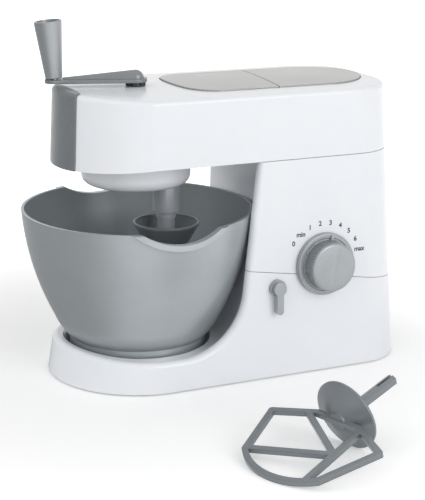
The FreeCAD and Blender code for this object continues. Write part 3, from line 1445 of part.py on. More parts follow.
def tool_cup(kind):
    """Solid cup of a kind of tool, with its rim in the XY plane."""
    depth = size(f"{kind}_cup_depth")
    band = size("cup_band")
    rim = size("cup_rim_radius")
    cone = Part.makeCone(size(f"{kind}_cup_hub"), rim, depth - band, Vector(0, 0, -depth))
    return cone.fuse(Part.makeCylinder(rim, band, Vector(0, 0, -band)))


def tool_head(kind):
    """Cup and shank of a kind of tool, with the cup's rim in the XY plane and the shank upwards."""
    wall = size("cup_wall")
    rim = size("cup_rim_radius")
    depth = size(f"{kind}_cup_depth")
    run = rim - size(f"{kind}_cup_hub")
    lift = wall * math.hypot(run, depth - size("cup_band")) / run
    outer = tool_cup(kind)
    hollow = tool_cup(kind).common(Part.makeCylinder(rim - wall, 2 * depth, Vector(0, 0, -depth)))
    hollow = hollow.fuse(Part.makeCylinder(rim - wall, lift))
    hollow.translate(Vector(0, 0, lift))
    flat = size("shank_flat")
    foot = wall / 2 - depth
    corners = [Vector(flat / math.cos(math.radians(30)), 0, foot)]
    about_z = Rotation(Vector(0, 0, 1), 60)
    while len(corners) < 6:
        corners.append(about_z.multVec(corners[-1]))
    length = size("shank_length")
    shank = Part.Face(Part.makePolygon(corners + corners[:1])).extrude(Vector(0, 0, length - foot))
    slot = Part.makeBox(4 * flat, size("shank_slot"), length)
    slot.translate(Vector(-2 * flat, -size("shank_slot") / 2, length - size("shank_slot_length")))
    webs = []
    for across in (0, 90):
        web = Part.makeBox(2 * rim, wall, size("cup_web_height") + lift / 2)
        web.translate(Vector(-rim, -wall / 2, lift / 2 - depth))
        web.rotate(Vector(), Vector(0, 0, 1), across)
        webs.append(web.common(outer))
    return outer.cut(hollow).fuse([shank.cut(slot)] + webs)


def build_hook():
    """Dough hook under the head: a cup and shank with a bowed rod."""
    wire = size("hook_wire")
    top = Vector(0, 0, size("cup_wall") / 2 - size("hook_cup_depth"))
    low = Vector(-wire, 0, wire - size("hook_reach"))
    path = Part.Arc(top, Vector(size("hook_swing"), 0, (top.z + low.z) / 2), low)
    section = Part.Wire([Part.makeCircle(wire, top, path.tangent(0)[0])])
    bow = Part.Wire([path.toShape()]).makePipeShell([section], True, False)
    hook = tool_head("hook").fuse([bow, Part.makeSphere(wire, low)])
    feature("dough_hook", hook, tool_axis(size("cup_rim_height")))


# Places in the K beater's frame: shares of its reach below the cup's rim and of its half width.
K_PLACES = {
    "shoulder_a": (0.12, -0.38), "corner_a": (0.3, -1.0), "foot_a": (0.84, -0.68),
    "shoulder_b": (0.12, 0.38), "corner_b": (0.3, 1.0), "foot_b": (0.84, 0.68),
    "tip": (1.0, 0.0), "spine_top": (0.16, 0.45), "spine_end": (0.9, 0.53),
    "spine_middle": (0.51, 0.49), "arm_end": (0.17, -0.47), "leg_end": (0.82, -0.67),
}
# Bars of the K beater: start, end and, for the bowed one, its middle.
K_BARS = (
    ("shoulder_a", "shoulder_b"), ("shoulder_a", "corner_a"), ("shoulder_b", "corner_b"),
    ("corner_a", "foot_a"), ("corner_b", "foot_b"), ("foot_a", "foot_b", "tip"),
    ("spine_top", "spine_end"), ("spine_middle", "arm_end"), ("spine_middle", "leg_end"),
)


def k_spot(name):
    """Place of the K beater's frame on the far face of its bars, below the cup's rim."""
    down, side = K_PLACES[name]
    bar = size("beater_bar") / 2
    x = -size("beater_thickness") / 2
    return Vector(x, -side * (size("beater_half_width") - bar), -down * (size("beater_reach") - bar))


def beater_bar(start, end, middle=None):
    """Flat bar of the beater between two of its places, bowed if it has a middle."""
    depth = Vector(size("beater_thickness"), 0, 0)
    half = size("beater_bar") / 2
    begin, finish = k_spot(start), k_spot(end)
    if middle:
        run = Part.Arc(begin, k_spot(middle), finish)
        return Part.Face(Part.Wire([run.toShape()]).makeOffset2D(half)).extrude(depth)
    along = (finish - begin).normalize() * half
    across = along.cross(Vector(1, 0, 0))
    edges = [Part.makeLine(begin + across, finish + across)]
    edges.append(Part.Arc(finish + across, finish + along, finish - across).toShape())
    edges.append(Part.makeLine(finish - across, begin - across))
    edges.append(Part.Arc(begin - across, begin - along, begin + across).toShape())
    return Part.Face(Part.Wire(edges)).extrude(depth)


def build_beater():
    """Loose beater with a K in its frame, lying beside the base on its cup's rim and its tip."""
    bars = [beater_bar(*places) for places in K_BARS]
    depth = size("beater_cup_depth")
    under = Vector(0, 0, -depth - size("cup_wall"))
    boss = Part.makeCylinder(size("beater_cup_hub"), 2 * size("cup_wall"), under)
    frame = boss.fuse(bars).cut(tool_cup("beater"))
    rim = size("cup_rim_radius")
    lift = math.atan((rim - size("beater_thickness") / 2) / size("beater_reach"))
    heading = Rotation(Vector(0, 0, 1), size("beater_heading"))
    turn = heading * Rotation(Vector(0, 1, 0), 90 - math.degrees(lift))
    spot = Vector(size("beater_place_x"), size("beater_place_y"), rim * math.cos(lift))
    feature("k_beater", tool_head("beater").fuse(frame), spot, turn)


def build_all():
    """Make every sub-part."""
    feature("lower_case", build_lower_case())
    feature("base_plate", build_base_plate())
    build_feet()
    base_faces = [spot + Vector(0, 0, size("foot_height")) for spot in base_screw_spots()]
    screws("base_screws", base_faces, Vector(0, 0, 1), size("screw_length"))
    build_hinge_pin()
    build_lever()
    build_lever_shaft()
    feature("pillar_case", build_pillar())
    feature("head_case", build_head_case())
    case_faces = [spot - Vector(0, 0, size("screw_hold")) for spot in pillar_screw_spots()]
    screws("case_screws", case_faces, Vector(0, 0, 1), size("screw_length"))
    feature("nose_cover", build_nose_cover())
    feature("front_panel", build_panel(True))
    feature("rear_panel", build_panel(False))
    feature("underplate", build_underplate())
    feature("ring_gear", build_ring_gear())
    screws("gear_screws", ring_screw_spots(), Vector(0, 0, -1), size("short_screw_length"))
    build_top_bush()
    build_latch_keeper()
    build_click_leaf()
    build_dial()
    build_dial_shaft()
    build_drive_shaft()
    build_carrier()
    screws("carrier_screw", [drive_axis(size("carrier_bottom"))], Vector(0, 0, 1), size("screw_length"))
    build_collar()
    build_crank_arm()
    build_grip_pin()
    build_grip()
    build_planet_gear()
    build_tool_socket()
    build_spindle_clip()
    build_hook()
    build_bowl()
    build_beater()


def check_document():
    """Stop if an object failed or a sub-part has no sound shape."""
    for item in doc.Objects:
        if {"Invalid", "Error"} & set(item.State):
            raise RuntimeError(f"{item.Label} is {item.State}")
    for item in NODES:
        if item.Shape.isNull() or not item.Shape.isValid():
            raise RuntimeError(f"{item.Label} has no sound shape")


build_all()
doc.recompute()
check_document()
os.makedirs("parts", exist_ok=True)
for node in NODES:
    node.Shape.exportStep(f"parts/{node.Label}.step")
print(len(NODES), "sub-parts")
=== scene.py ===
"""Looks of a toy stand mixer: moulded and metal finishes, the ribbed speed dial, its printed scale and a pale studio.

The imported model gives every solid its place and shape, in metres. This script dresses those solids, builds the
pieces whose small forms only the looks need, and sets up the floor, the light and the camera.
"""

import logging
import math
from dataclasses import dataclass, field
from enum import Enum

import bmesh
import bpy
from mathutils import Matrix, Quaternion, Vector


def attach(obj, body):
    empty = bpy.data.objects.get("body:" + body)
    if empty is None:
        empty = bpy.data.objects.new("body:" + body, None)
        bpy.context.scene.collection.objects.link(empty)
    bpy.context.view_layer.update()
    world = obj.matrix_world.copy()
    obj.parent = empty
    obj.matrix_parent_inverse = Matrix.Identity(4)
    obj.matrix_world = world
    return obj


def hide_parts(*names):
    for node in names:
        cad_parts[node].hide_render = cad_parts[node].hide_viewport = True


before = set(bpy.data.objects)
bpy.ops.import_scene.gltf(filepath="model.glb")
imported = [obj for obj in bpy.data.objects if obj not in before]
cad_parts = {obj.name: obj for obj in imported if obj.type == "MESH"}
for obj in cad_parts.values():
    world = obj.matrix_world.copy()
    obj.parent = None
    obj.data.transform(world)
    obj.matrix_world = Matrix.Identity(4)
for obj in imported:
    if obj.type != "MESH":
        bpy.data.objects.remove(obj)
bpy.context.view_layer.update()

LOG = logging.getLogger("toy_stand_mixer")
MM = 0.001
# Two points of the print nearer than this, in metres, are one.
SAME_POINT = 1e-6
# Grey levels of a texture between which the colour, and the roughness, run from one end to the other.
COLOUR_SPAN = (0.3, 0.75)
GLOSS_SPAN = (0.25, 0.75)
# Drawn lines run along Z, 25 times as long as they are wide.
DRAWN_SCALE = (1.0, 1.0, 0.04)
BEVEL_SAMPLES = 6


def linear(colour: str) -> tuple[float, float, float, float]:
    """Turn an sRGB colour into linear light.

    Args:
        colour: Hex digits, such as "#E8EAEE".

    Returns:
        Red, green, blue and an alpha of 1.
    """
    parts = [int(colour[start:start + 2], 16) / 255 for start in (1, 3, 5)]
    light = [part / 12.92 if part <= 0.04045 else ((part + 0.055) / 1.055) ** 2.4 for part in parts]
    return (*light, 1.0)


def add_node(tree: bpy.types.NodeTree, kind: str, inputs: dict | None = None, **settings: object) -> bpy.types.Node:
    """Add a shader node with its settings, values and links.

    Args:
        tree: Node tree of the material or world.
        kind: Node type, such as "ShaderNodeTexNoise".
        inputs: Value, or output socket to link, for each input by its name or identifier.
        **settings: Properties of the node itself.

    Returns:
        The new node.
    """
    node = tree.nodes.new(kind)
    for name, value in settings.items():
        setattr(node, name, value)
    for name, value in (inputs or {}).items():
        socket = next(item for item in node.inputs if name in (item.identifier, item.name))
        if isinstance(value, bpy.types.NodeSocket):
            tree.links.new(value, socket)
        else:
            socket.default_value = value
    return node


class Grain(Enum):
    """Marks that a surface keeps from how it was made."""

    PEEL = "slow waves of a polished mould"
    SPARKED = "pits of a spark-eroded mould"
    FLAKE = "metal flake in the plastic"
    DRAWN = "lines along a drawn or rolled metal"
    PLAIN = "fine dullness of a cut or printed face"


# Octaves of noise in each kind of mark; the flake has none, because it is drawn as cells.
GRAIN_DETAIL = {Grain.PEEL: 1.0, Grain.SPARKED: 3.0, Grain.DRAWN: 4.0, Grain.PLAIN: 2.0}
PATCH_DETAIL = 2.0


@dataclass(frozen=True)
class Finish:
    """Material of one kind, with its colour, its gloss and the marks of its making.

    Args:
        name: Real material and process, which names the Blender material.
        colour: Main sRGB colour.
        shade: sRGB colour that the marks and the slow patches drift towards.
        roughness: Middle roughness of the surface.
        swing: How far the roughness wanders to each side.
        grain: Kind of mark.
        grain_mm: Real spacing of the marks.
        relief_mm: Height of the marks.
        metallic: Share of metal in the reflection.
        patch_mm: Width of the slow patches that handling and moulding leave.
        mark_share: Share of the marks in the colour's drift, the rest being the patches'.
        edge_mm: Rounding that the moulded edges show in the light.
    """

    name: str
    colour: str
    shade: str
    roughness: float
    swing: float
    grain: Grain
    grain_mm: float
    relief_mm: float
    metallic: float = 0.0
    patch_mm: float = 30.0
    mark_share: float = 0.3
    edge_mm: float = 0.25

    def mark_height(self, tree: bpy.types.NodeTree, place: bpy.types.NodeSocket) -> bpy.types.NodeSocket:
        """Draw the marks as a grey level.

        Args:
            tree: Node tree of the material.
            place: Coordinates of the surface, in metres.

        Returns:
            Socket that runs from 0 in the marks' hollows to 1 on their tops.
        """
        per_metre = 1 / (self.grain_mm * MM)
        if self.grain is Grain.FLAKE:
            cells = add_node(tree, "ShaderNodeTexVoronoi", {"Vector": place, "Scale": per_metre})
            level = add_node(tree, "ShaderNodeSeparateColor", {"Color": cells.outputs["Color"]})
            return level.outputs["Red"]
        if self.grain is Grain.DRAWN:
            stretched = {"Vector": place, "Scale": DRAWN_SCALE}
            place = add_node(tree, "ShaderNodeMapping", stretched).outputs["Vector"]
        noise = {"Vector": place, "Scale": per_metre, "Detail": GRAIN_DETAIL[self.grain]}
        return add_node(tree, "ShaderNodeTexNoise", noise).outputs["Fac"]

    def build(self) -> bpy.types.Material:
        """Make the Blender material.

        Returns:
            The finished material.
        """
        material = bpy.data.materials.new(self.name)
        material.use_nodes = True
        tree = material.node_tree
        tree.nodes.clear()
        place = add_node(tree, "ShaderNodeTexCoord").outputs["Object"]
        marks = self.mark_height(tree, place)
        slow = {"Vector": place, "Scale": 1 / (self.patch_mm * MM), "Detail": PATCH_DETAIL}
        patches = add_node(tree, "ShaderNodeTexNoise", slow).outputs["Fac"]
        shares = {"Factor_Float": self.mark_share, "A_Float": patches, "B_Float": marks}
        both = add_node(tree, "ShaderNodeMix", shares).outputs["Result"]
        span = {"Value": both, "From Min": COLOUR_SPAN[0], "From Max": COLOUR_SPAN[1]}
        drift = add_node(tree, "ShaderNodeMapRange", span, clamp=True).outputs["Result"]
        tint = {"Factor_Float": drift, "A_Color": linear(self.colour), "B_Color": linear(self.shade)}
        mixed = add_node(tree, "ShaderNodeMix", tint, data_type="RGBA")
        colour = next(item for item in mixed.outputs if item.identifier == "Result_Color")
        gloss = {
            "Value": patches,
            "From Min": GLOSS_SPAN[0],
            "From Max": GLOSS_SPAN[1],
            "To Min": self.roughness - self.swing,
            "To Max": self.roughness + self.swing,
        }
        roughness = add_node(tree, "ShaderNodeMapRange", gloss, clamp=True).outputs["Result"]
        edge = {"Radius": self.edge_mm * MM}
        rounded = add_node(tree, "ShaderNodeBevel", edge, samples=BEVEL_SAMPLES).outputs["Normal"]
        relief = {"Height": marks, "Distance": self.relief_mm * MM, "Strength": 1.0, "Normal": rounded}
        normal = add_node(tree, "ShaderNodeBump", relief).outputs["Normal"]
        surface = {
            "Base Color": colour,
            "Roughness": roughness,
            "Normal": normal,
            "Metallic": self.metallic,
        }
        shader = add_node(tree, "ShaderNodeBsdfPrincipled", surface)
        add_node(tree, "ShaderNodeOutputMaterial", {"Surface": shader.outputs["BSDF"]})
        return material


# ABS, high-gloss moulded: a cool white that mirrors the lights in soft, slightly wavy patches.
GLOSS_WHITE = Finish("abs_high_gloss_moulded", "#ECEEF2", "#E8EBEF", 0.2, 0.02, Grain.PEEL, 6.0, 0.0015)
# ABS, matt moulded: the same white on faces that nobody looks at, dull and faintly pitted.
MATT_WHITE = Finish("abs_matt_moulded", "#DDE0E4", "#D2D5D9", 0.55, 0.06, Grain.SPARKED, 0.6, 0.012)
# ABS with aluminium flake, satin moulded: a cool silver whose flake softens the light into broad bands.
# Real flake is 0.05 mm wide, too fine to show, so it is drawn at 0.4 to 0.5 mm, here and below.
SILVER_BOWL = Finish(
    "abs_aluminium_flake_moulded", "#AFB5B8", "#A8AEB1", 0.36, 0.03, Grain.FLAKE, 0.5, 0.0008, metallic=0.5
)
# ABS with a little flake, satin moulded: the mid grey of the trim, with a soft sheen along its curves.
SATIN_GREY = Finish(
    "abs_satin_moulded", "#A2A6A9", "#9B9FA2", 0.32, 0.04, Grain.FLAKE, 0.5, 0.0008, metallic=0.45, patch_mm=14.0
)
# ABS with dense flake, polished mould: the tool socket, paler than the trim, with upright stripes of light and dark.
SOCKET_GREY = Finish(
    "abs_aluminium_flake_polished", "#BCC0C4", "#B6BABE", 0.3, 0.03, Grain.FLAKE, 0.4, 0.0001,
    metallic=0.4, patch_mm=9.0, edge_mm=0.05
)
# ABS, satin moulded, darker batch: nose cover and crank arm, a shade deeper than the dial, with soft edges.
DEEP_GREY = Finish(
    "abs_satin_moulded_deep", "#85898C", "#7F8386", 0.3, 0.04, Grain.FLAKE, 0.5, 0.0008,
    metallic=0.3, patch_mm=18.0, edge_mm=1.1
)
# ABS with pearl flake, satin moulded: warm light grey of the top panels.
PEARL_GREY = Finish(
    "abs_pearl_flake_moulded", "#ABABA8", "#A5A5A1", 0.24, 0.03, Grain.FLAKE, 0.5, 0.0002, metallic=0.35
)
# Polypropylene, spark-eroded mould: the tools' plain grey, waxy and finely pitted, with round edges.
TOOL_GREY = Finish(
    "polypropylene_sparked", "#83888C", "#7B8084", 0.33, 0.05, Grain.SPARKED, 0.7, 0.004, metallic=0.3, edge_mm=0.9
)
# Acetal, moulded and glossy: near black, with small white glints on its teeth.
DARK_ACETAL = Finish("acetal_black_moulded", "#2C2D30", "#242528", 0.18, 0.04, Grain.SPARKED, 0.5, 0.003)
# Acetal, natural: milky off-white of gears and bushes.
NATURAL_ACETAL = Finish("acetal_natural_moulded", "#DEDCD2", "#D2D0C5", 0.38, 0.05, Grain.SPARKED, 0.6, 0.006)
# Steel, zinc plated: bright and slightly blue, with fine drawn lines.
ZINC_STEEL = Finish(
    "steel_zinc_plated", "#B9BDC2", "#A4A8AD", 0.3, 0.08, Grain.DRAWN, 0.5, 0.006, metallic=1.0, patch_mm=6.0
)
# Thermoplastic rubber, moulded: dead matt dark grey.
FOOT_RUBBER = Finish("rubber_moulded", "#2E2F31", "#26272A", 0.85, 0.08, Grain.SPARKED, 0.8, 0.03, patch_mm=8.0)
# Pad-printing ink: a thin near-black film, a little duller than the gloss below it.
SCALE_INK = Finish("ink_pad_printed", "#1C1D20", "#26272A", 0.45, 0.06, Grain.PLAIN, 0.4, 0.002, patch_mm=4.0)


@dataclass
class Lathe:
    """Closed ring of profile points turned about an axis, with optional ribs.

    Args:
        segments: Facets round the axis.
    """

    segments: int = 288

    def turn(
        self, mesh: bmesh.types.BMesh, profile: list[tuple[float, float]], ribbed: set[int], ribs: int, rib_depth: float
    ) -> None:
        """Turn a profile about Z into a closed skin.

        Args:
            mesh: Mesh that receives the skin.
            profile: Radius and height of each point in millimetres, first and last on the axis.
            ribbed: Indices of the points that the ribs move inwards.
            ribs: Number of ribs round the axis.
            rib_depth: Depth of the grooves between the ribs in millimetres.
        """
        rings = []
        for index, (radius, height) in enumerate(profile):
            if radius == 0:
                rings.append([mesh.verts.new((0, 0, height * MM))])
                continue
            ring = []
            for step in range(self.segments):
                angle = math.tau * step / self.segments
                cut = rib_depth * (0.5 - 0.5 * math.cos(ribs * angle)) if index in ribbed else 0
                reach = (radius - cut) * MM
                ring.append(mesh.verts.new((reach * math.cos(angle), reach * math.sin(angle), height * MM)))
            rings.append(ring)
        for lower, upper in zip(rings, rings[1:]):
            for step in range(self.segments):
                after = (step + 1) % self.segments
                corners = [lower[step % len(lower)], lower[after % len(lower)],
                           upper[after % len(upper)], upper[step % len(upper)]]
                mesh.faces.new(list(dict.fromkeys(corners)))


def finished(
    name: str, mesh: bmesh.types.BMesh, material: bpy.types.Material, crease: float = 30.0
) -> bpy.types.Object:
    """Turn a built mesh into a smooth-shaded piece with one material.

    Args:
        name: Name of the piece.
        mesh: Mesh in metres, in its final place.
        material: Finish of the piece.
        crease: Angle in degrees above which an edge stays sharp.

    Returns:
        The new object, linked to the scene.
    """
    bmesh.ops.recalc_face_normals(mesh, faces=mesh.faces)
    data = bpy.data.meshes.new(name)
    mesh.to_mesh(data)
    mesh.free()
    data.materials.append(material)
    data.shade_smooth()
    data.set_sharp_from_angle(angle=math.radians(crease))
    piece = bpy.data.objects.new(name, data)
    bpy.context.scene.collection.objects.link(piece)
    return piece


@dataclass
class ControlWall:
    """Leaning side wall of the pillar that carries the dial and its scale.

    Args:
        half_width: Distance of the wall from the middle at the floor.
        lean: Lean of the wall in degrees.
        reach: Distance of the dial's centre behind the bowl axis.
        height: Height of the dial's centre.
    """

    half_width: float = 61.6
    lean: float = 1.55
    reach: float = 111.2
    height: float = 76.1

    def frame_at(self, x: float, z: float, outward: float = 0.0) -> Matrix:
        """Place on the wall, with X to the rear, Y up the wall and Z out of it.

        Args:
            x: Distance behind the bowl axis in millimetres.
            z: Height in millimetres.
            outward: Distance in front of the wall in millimetres.

        Returns:
            Matrix in metres.
        """
        slope = math.tan(math.radians(self.lean))
        up = Vector((0, slope, 1)).normalized()
        out = Vector((1, 0, 0)).cross(up)
        spot = Vector((x, -(self.half_width - z * slope), z)) * MM + out * outward * MM
        turn = Matrix(((1, up.x, out.x), (0, up.y, out.y), (0, up.z, out.z)))
        return Matrix.Translation(spot) @ turn.to_4x4()


# Steps of the dial's skirt in millimetres, from its rim inwards: in from that rim, down from the skirt's face.
SKIRT_STEPS = ((0.0, 1.0), (0.3, 0.55), (0.9, 0.4), (1.5, 0.4), (1.7, 0.0), (2.9, 0.0), (3.2, 0.7))
# Steps from the grip's ribs to its flat face: in from the grip's radius, down from the face.
FACE_STEPS = ((0.7, 1.4), (0.95, 0.7), (1.5, 0.2), (2.3, 0.0))


@dataclass
class SpeedDial:
    """Ribbed dial on the control wall.

    Args:
        wall: Wall that carries it.
        skirt_radius: Outer radius of the skirt.
        skirt: Thickness of the skirt.
        grip_radius: Radius of the ribbed grip.
        depth: Height of the grip above the wall.
        shell: Wall thickness of the moulding.
        gap: Clearance behind the skirt.
        ribs: Ribs round the grip.
        rib_depth: Depth of the grooves between the ribs.
        hollow_edge: Bevel of the hollow's inner corner.
        ridge_width: Width of the ridge across the face.
        ridge_rise: Height of that ridge.
        ridge_end: Length, as a share of half the ridge, over which each end fades into the face.
        ridge_root: Depth of the ridge's flat back below its lower edge.
        pointer_half: Half the width of the pointer.
        pointer_edge: Rounding of the pointer.
        turn: Rest angle of the pointer in degrees.
    """

    wall: ControlWall
    skirt_radius: float = 21.3
    skirt: float = 4.4
    grip_radius: float = 17.2
    depth: float = 14.6
    shell: float = 2.0
    gap: float = 0.3
    ribs: int = 60
    rib_depth: float = 0.8
    hollow_edge: float = 0.8
    ridge_width: float = 5.0
    ridge_rise: float = 0.45
    ridge_end: float = 0.2
    ridge_root: float = 0.5
    pointer_half: float = 0.9
    pointer_edge: float = 0.4
    turn: float = 10.0

    def profile(self) -> tuple[list[tuple[float, float]], set[int]]:
        """Outline of the dial from its hollow back to its face.

        Returns:
            Points as radius and height in millimetres, and the indices of the ribbed ones.
        """
        hollow = self.grip_radius - self.shell
        top = self.depth
        points = [
            (0, top - self.shell),
            (hollow - self.hollow_edge, top - self.shell),
            (hollow, top - self.shell - self.hollow_edge),
            (hollow, self.skirt - self.shell),
            (self.skirt_radius - self.shell, self.skirt - self.shell),
            (self.skirt_radius - self.shell, self.gap),
            (self.skirt_radius, self.gap),
        ]
        points += [(self.skirt_radius - inwards, self.skirt - down) for inwards, down in SKIRT_STEPS]
        points.append((self.grip_radius + 0.1, self.skirt - 0.8))
        first = len(points)
        points += [
            (self.grip_radius, self.skirt - 0.6),
            (self.grip_radius - 0.1, self.skirt + 0.4),
            (self.grip_radius - 0.6, top - 2.2),
        ]
        ribbed = set(range(first, len(points)))
        points += [(self.grip_radius - inwards, top - down) for inwards, down in FACE_STEPS]
        points += [(self.grip_radius * 0.5, top), (0, top)]
        return points, ribbed

    def add_bar(self, mesh: bmesh.types.BMesh, low: Vector, high: Vector, edge: float) -> None:
        """Add a rounded block in the dial's own place.

        Args:
            mesh: Mesh that receives the block.
            low: Lowest corner in millimetres.
            high: Highest corner in millimetres.
            edge: Rounding of its edges in millimetres.
        """
        made = bmesh.ops.create_cube(mesh, size=1.0)["verts"]
        for vert in made:
            share = vert.co + Vector((0.5, 0.5, 0.5))
            vert.co = Vector([(a + (b - a) * part) * MM for a, b, part in zip(low, high, share)])
        edges = list({item for vert in made for item in vert.link_edges})
        bmesh.ops.bevel(mesh, geom=edges, offset=edge * MM, segments=3, profile=0.5, affect="EDGES")

    def add_ridge(self, mesh: bmesh.types.BMesh) -> None:
        """Add the low, softly crowned ridge across the face.

        Args:
            mesh: Mesh that receives the ridge.
        """
        grid = bmesh.ops.create_grid(mesh, x_segments=16, y_segments=48, size=1.0)["verts"]
        half, reach = self.ridge_width / 2, self.grip_radius - 1.4
        for vert in grid:
            fade = min(1.0, (1 - abs(vert.co.y)) / self.ridge_end)
            crown = self.ridge_rise * math.cos(vert.co.x * math.pi / 2) ** 2 * fade
            vert.co = Vector((vert.co.x * half, vert.co.y * reach, self.depth - 0.01 + crown)) * MM
        faces = list({face for vert in grid for face in vert.link_faces})
        below = bmesh.ops.extrude_face_region(mesh, geom=faces)["geom"]
        lowered = [item for item in below if isinstance(item, bmesh.types.BMVert)]
        bmesh.ops.translate(mesh, verts=lowered, vec=(0, 0, -self.ridge_root * MM))

    def build(self, material: bpy.types.Material) -> bpy.types.Object:
        """Build the dial with its ridge and its pointer, in place of the plain one.

        Args:
            material: Finish of the dial.

        Returns:
            The dressed piece.
        """
        mesh = bmesh.new()
        points, ribbed = self.profile()
        Lathe().turn(mesh, points, ribbed, self.ribs, self.rib_depth)
        self.add_ridge(mesh)
        low = Vector((-self.pointer_half, self.grip_radius - 1.2, self.skirt - 0.8))
        high = Vector((self.pointer_half, self.skirt_radius - 1.2, self.skirt + 1.4))
        self.add_bar(mesh, low, high, self.pointer_edge)
        turned = Matrix.Rotation(-math.radians(self.turn), 4, "Z")
        mesh.transform(self.wall.frame_at(self.wall.reach, self.wall.height) @ turned)
        piece = finished("dial_ribbed", mesh, material)
        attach(piece, "dial")
        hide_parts("speed_dial")
        return piece


@dataclass
class SpeedScale:
    """Printed numbers round the dial.

    Args:
        wall: Wall that carries the print.
        labels: Words and numbers in order round the dial.
        ring: Distance of their middles from the dial's centre.
        first: Angle of the first label in degrees, anticlockwise from the rear.
        step: Angle from each label to the next.
        letter: Size of the type.
        weight: Growth of the strokes, as a share of that size.
        drop: How far the whole ring of print lies below the dial's centre.
        film: Thickness of the ink.
    """

    wall: ControlWall
    labels: tuple[str, ...] = ("0", "min", "1", "2", "3", "4", "5", "6", "max")
    ring: float = 28.5
    first: float = 145.0
    step: float = 16.1
    letter: float = 4.6
    weight: float = 0.03
    drop: float = 0.8
    film: float = 0.04

    def build(self, material: bpy.types.Material) -> list[bpy.types.Object]:
        """Print each label as a thin film on the wall.

        Args:
            material: Ink.

        Returns:
            One piece per label.
        """
        pieces = []
        for index, label in enumerate(self.labels):
            angle = math.radians(self.first - self.step * index)
            x = self.wall.reach + self.ring * math.cos(angle)
            z = self.wall.height - self.drop + self.ring * math.sin(angle)
            text = bpy.data.curves.new(f"type_{label}", "FONT")
            text.body = label
            text.size = self.letter * MM
            text.extrude = self.film * MM / 2
            text.offset = self.letter * MM * self.weight
            text.align_x = "CENTER"
            text.align_y = "CENTER"
            shape = bpy.data.objects.new(f"type_{label}", text)
            mesh = bmesh.new()
            mesh.from_mesh(bpy.data.meshes.new_from_object(shape))
            bpy.data.objects.remove(shape)
            bmesh.ops.remove_doubles(mesh, verts=mesh.verts, dist=SAME_POINT)
            mesh.transform(self.wall.frame_at(x, z, outward=self.film / 2))
            piece = finished(f"scale_{label}", mesh, material, crease=20.0)
            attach(piece, "head")
            pieces.append(piece)
        return pieces


@dataclass
class Dressing:
    """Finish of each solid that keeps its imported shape.

    Args:
        made: Blender materials by name, filled as they are built.
    """

    made: dict[str, bpy.types.Material] = field(default_factory=dict)

    def material(self, finish: Finish) -> bpy.types.Material:
        """Build a material once and hand it out again.

        Args:
            finish: Finish to look up.

        Returns:
            Its Blender material.
        """
        if finish.name not in self.made:
            self.made[finish.name] = finish.build()
        return self.made[finish.name]

    def dress(self, finish: Finish, *nodes: str) -> None:
        """Give nodes a finish.

        Args:
            finish: Finish to give.
            *nodes: Names of the nodes.
        """
        for node in nodes:
            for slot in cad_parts[node].material_slots:
                slot.material = self.material(finish)
            LOG.info("%s in %s", node, finish.name)


@dataclass(frozen=True)
class Softbox:
    """Square lamp that faces the toy.

    Args:
        name: Name of the lamp.
        spot: Place in metres.
        width: Width in metres.
        power: Power in watts.
    """

    name: str
    spot: tuple[float, float, float]
    width: float
    power: float


@dataclass(frozen=True)
class PhotoCamera:
    """Camera that the photograph was taken with, as fitted to the toy's round forms.

    Args:
        azimuth: Angle in degrees from straight before the control side, positive towards the toy's rear.
        elevation: Height above the horizon in degrees.
        roll: Turn about its own axis in degrees.
        distance: Distance from the point that it aims at, in metres.
        aim: That point in metres.
        focal_px: Focal length in pixels of the photograph.
        centre_px: Optical centre in those pixels, from the upper left corner.
        frame_px: Width and height of the photograph.
        sensor: Width of the sensor in millimetres.
    """

    azimuth: float = -25.12
    elevation: float = 14.02
    roll: float = 0.6
    distance: float = 0.99189
    aim: tuple[float, float, float] = (0.05006, 0.0, 0.10608)
    focal_px: float = 1440.63
    centre_px: tuple[float, float] = (204.94, 208.55)
    frame_px: tuple[int, int] = (425, 500)
    sensor: float = 36.0


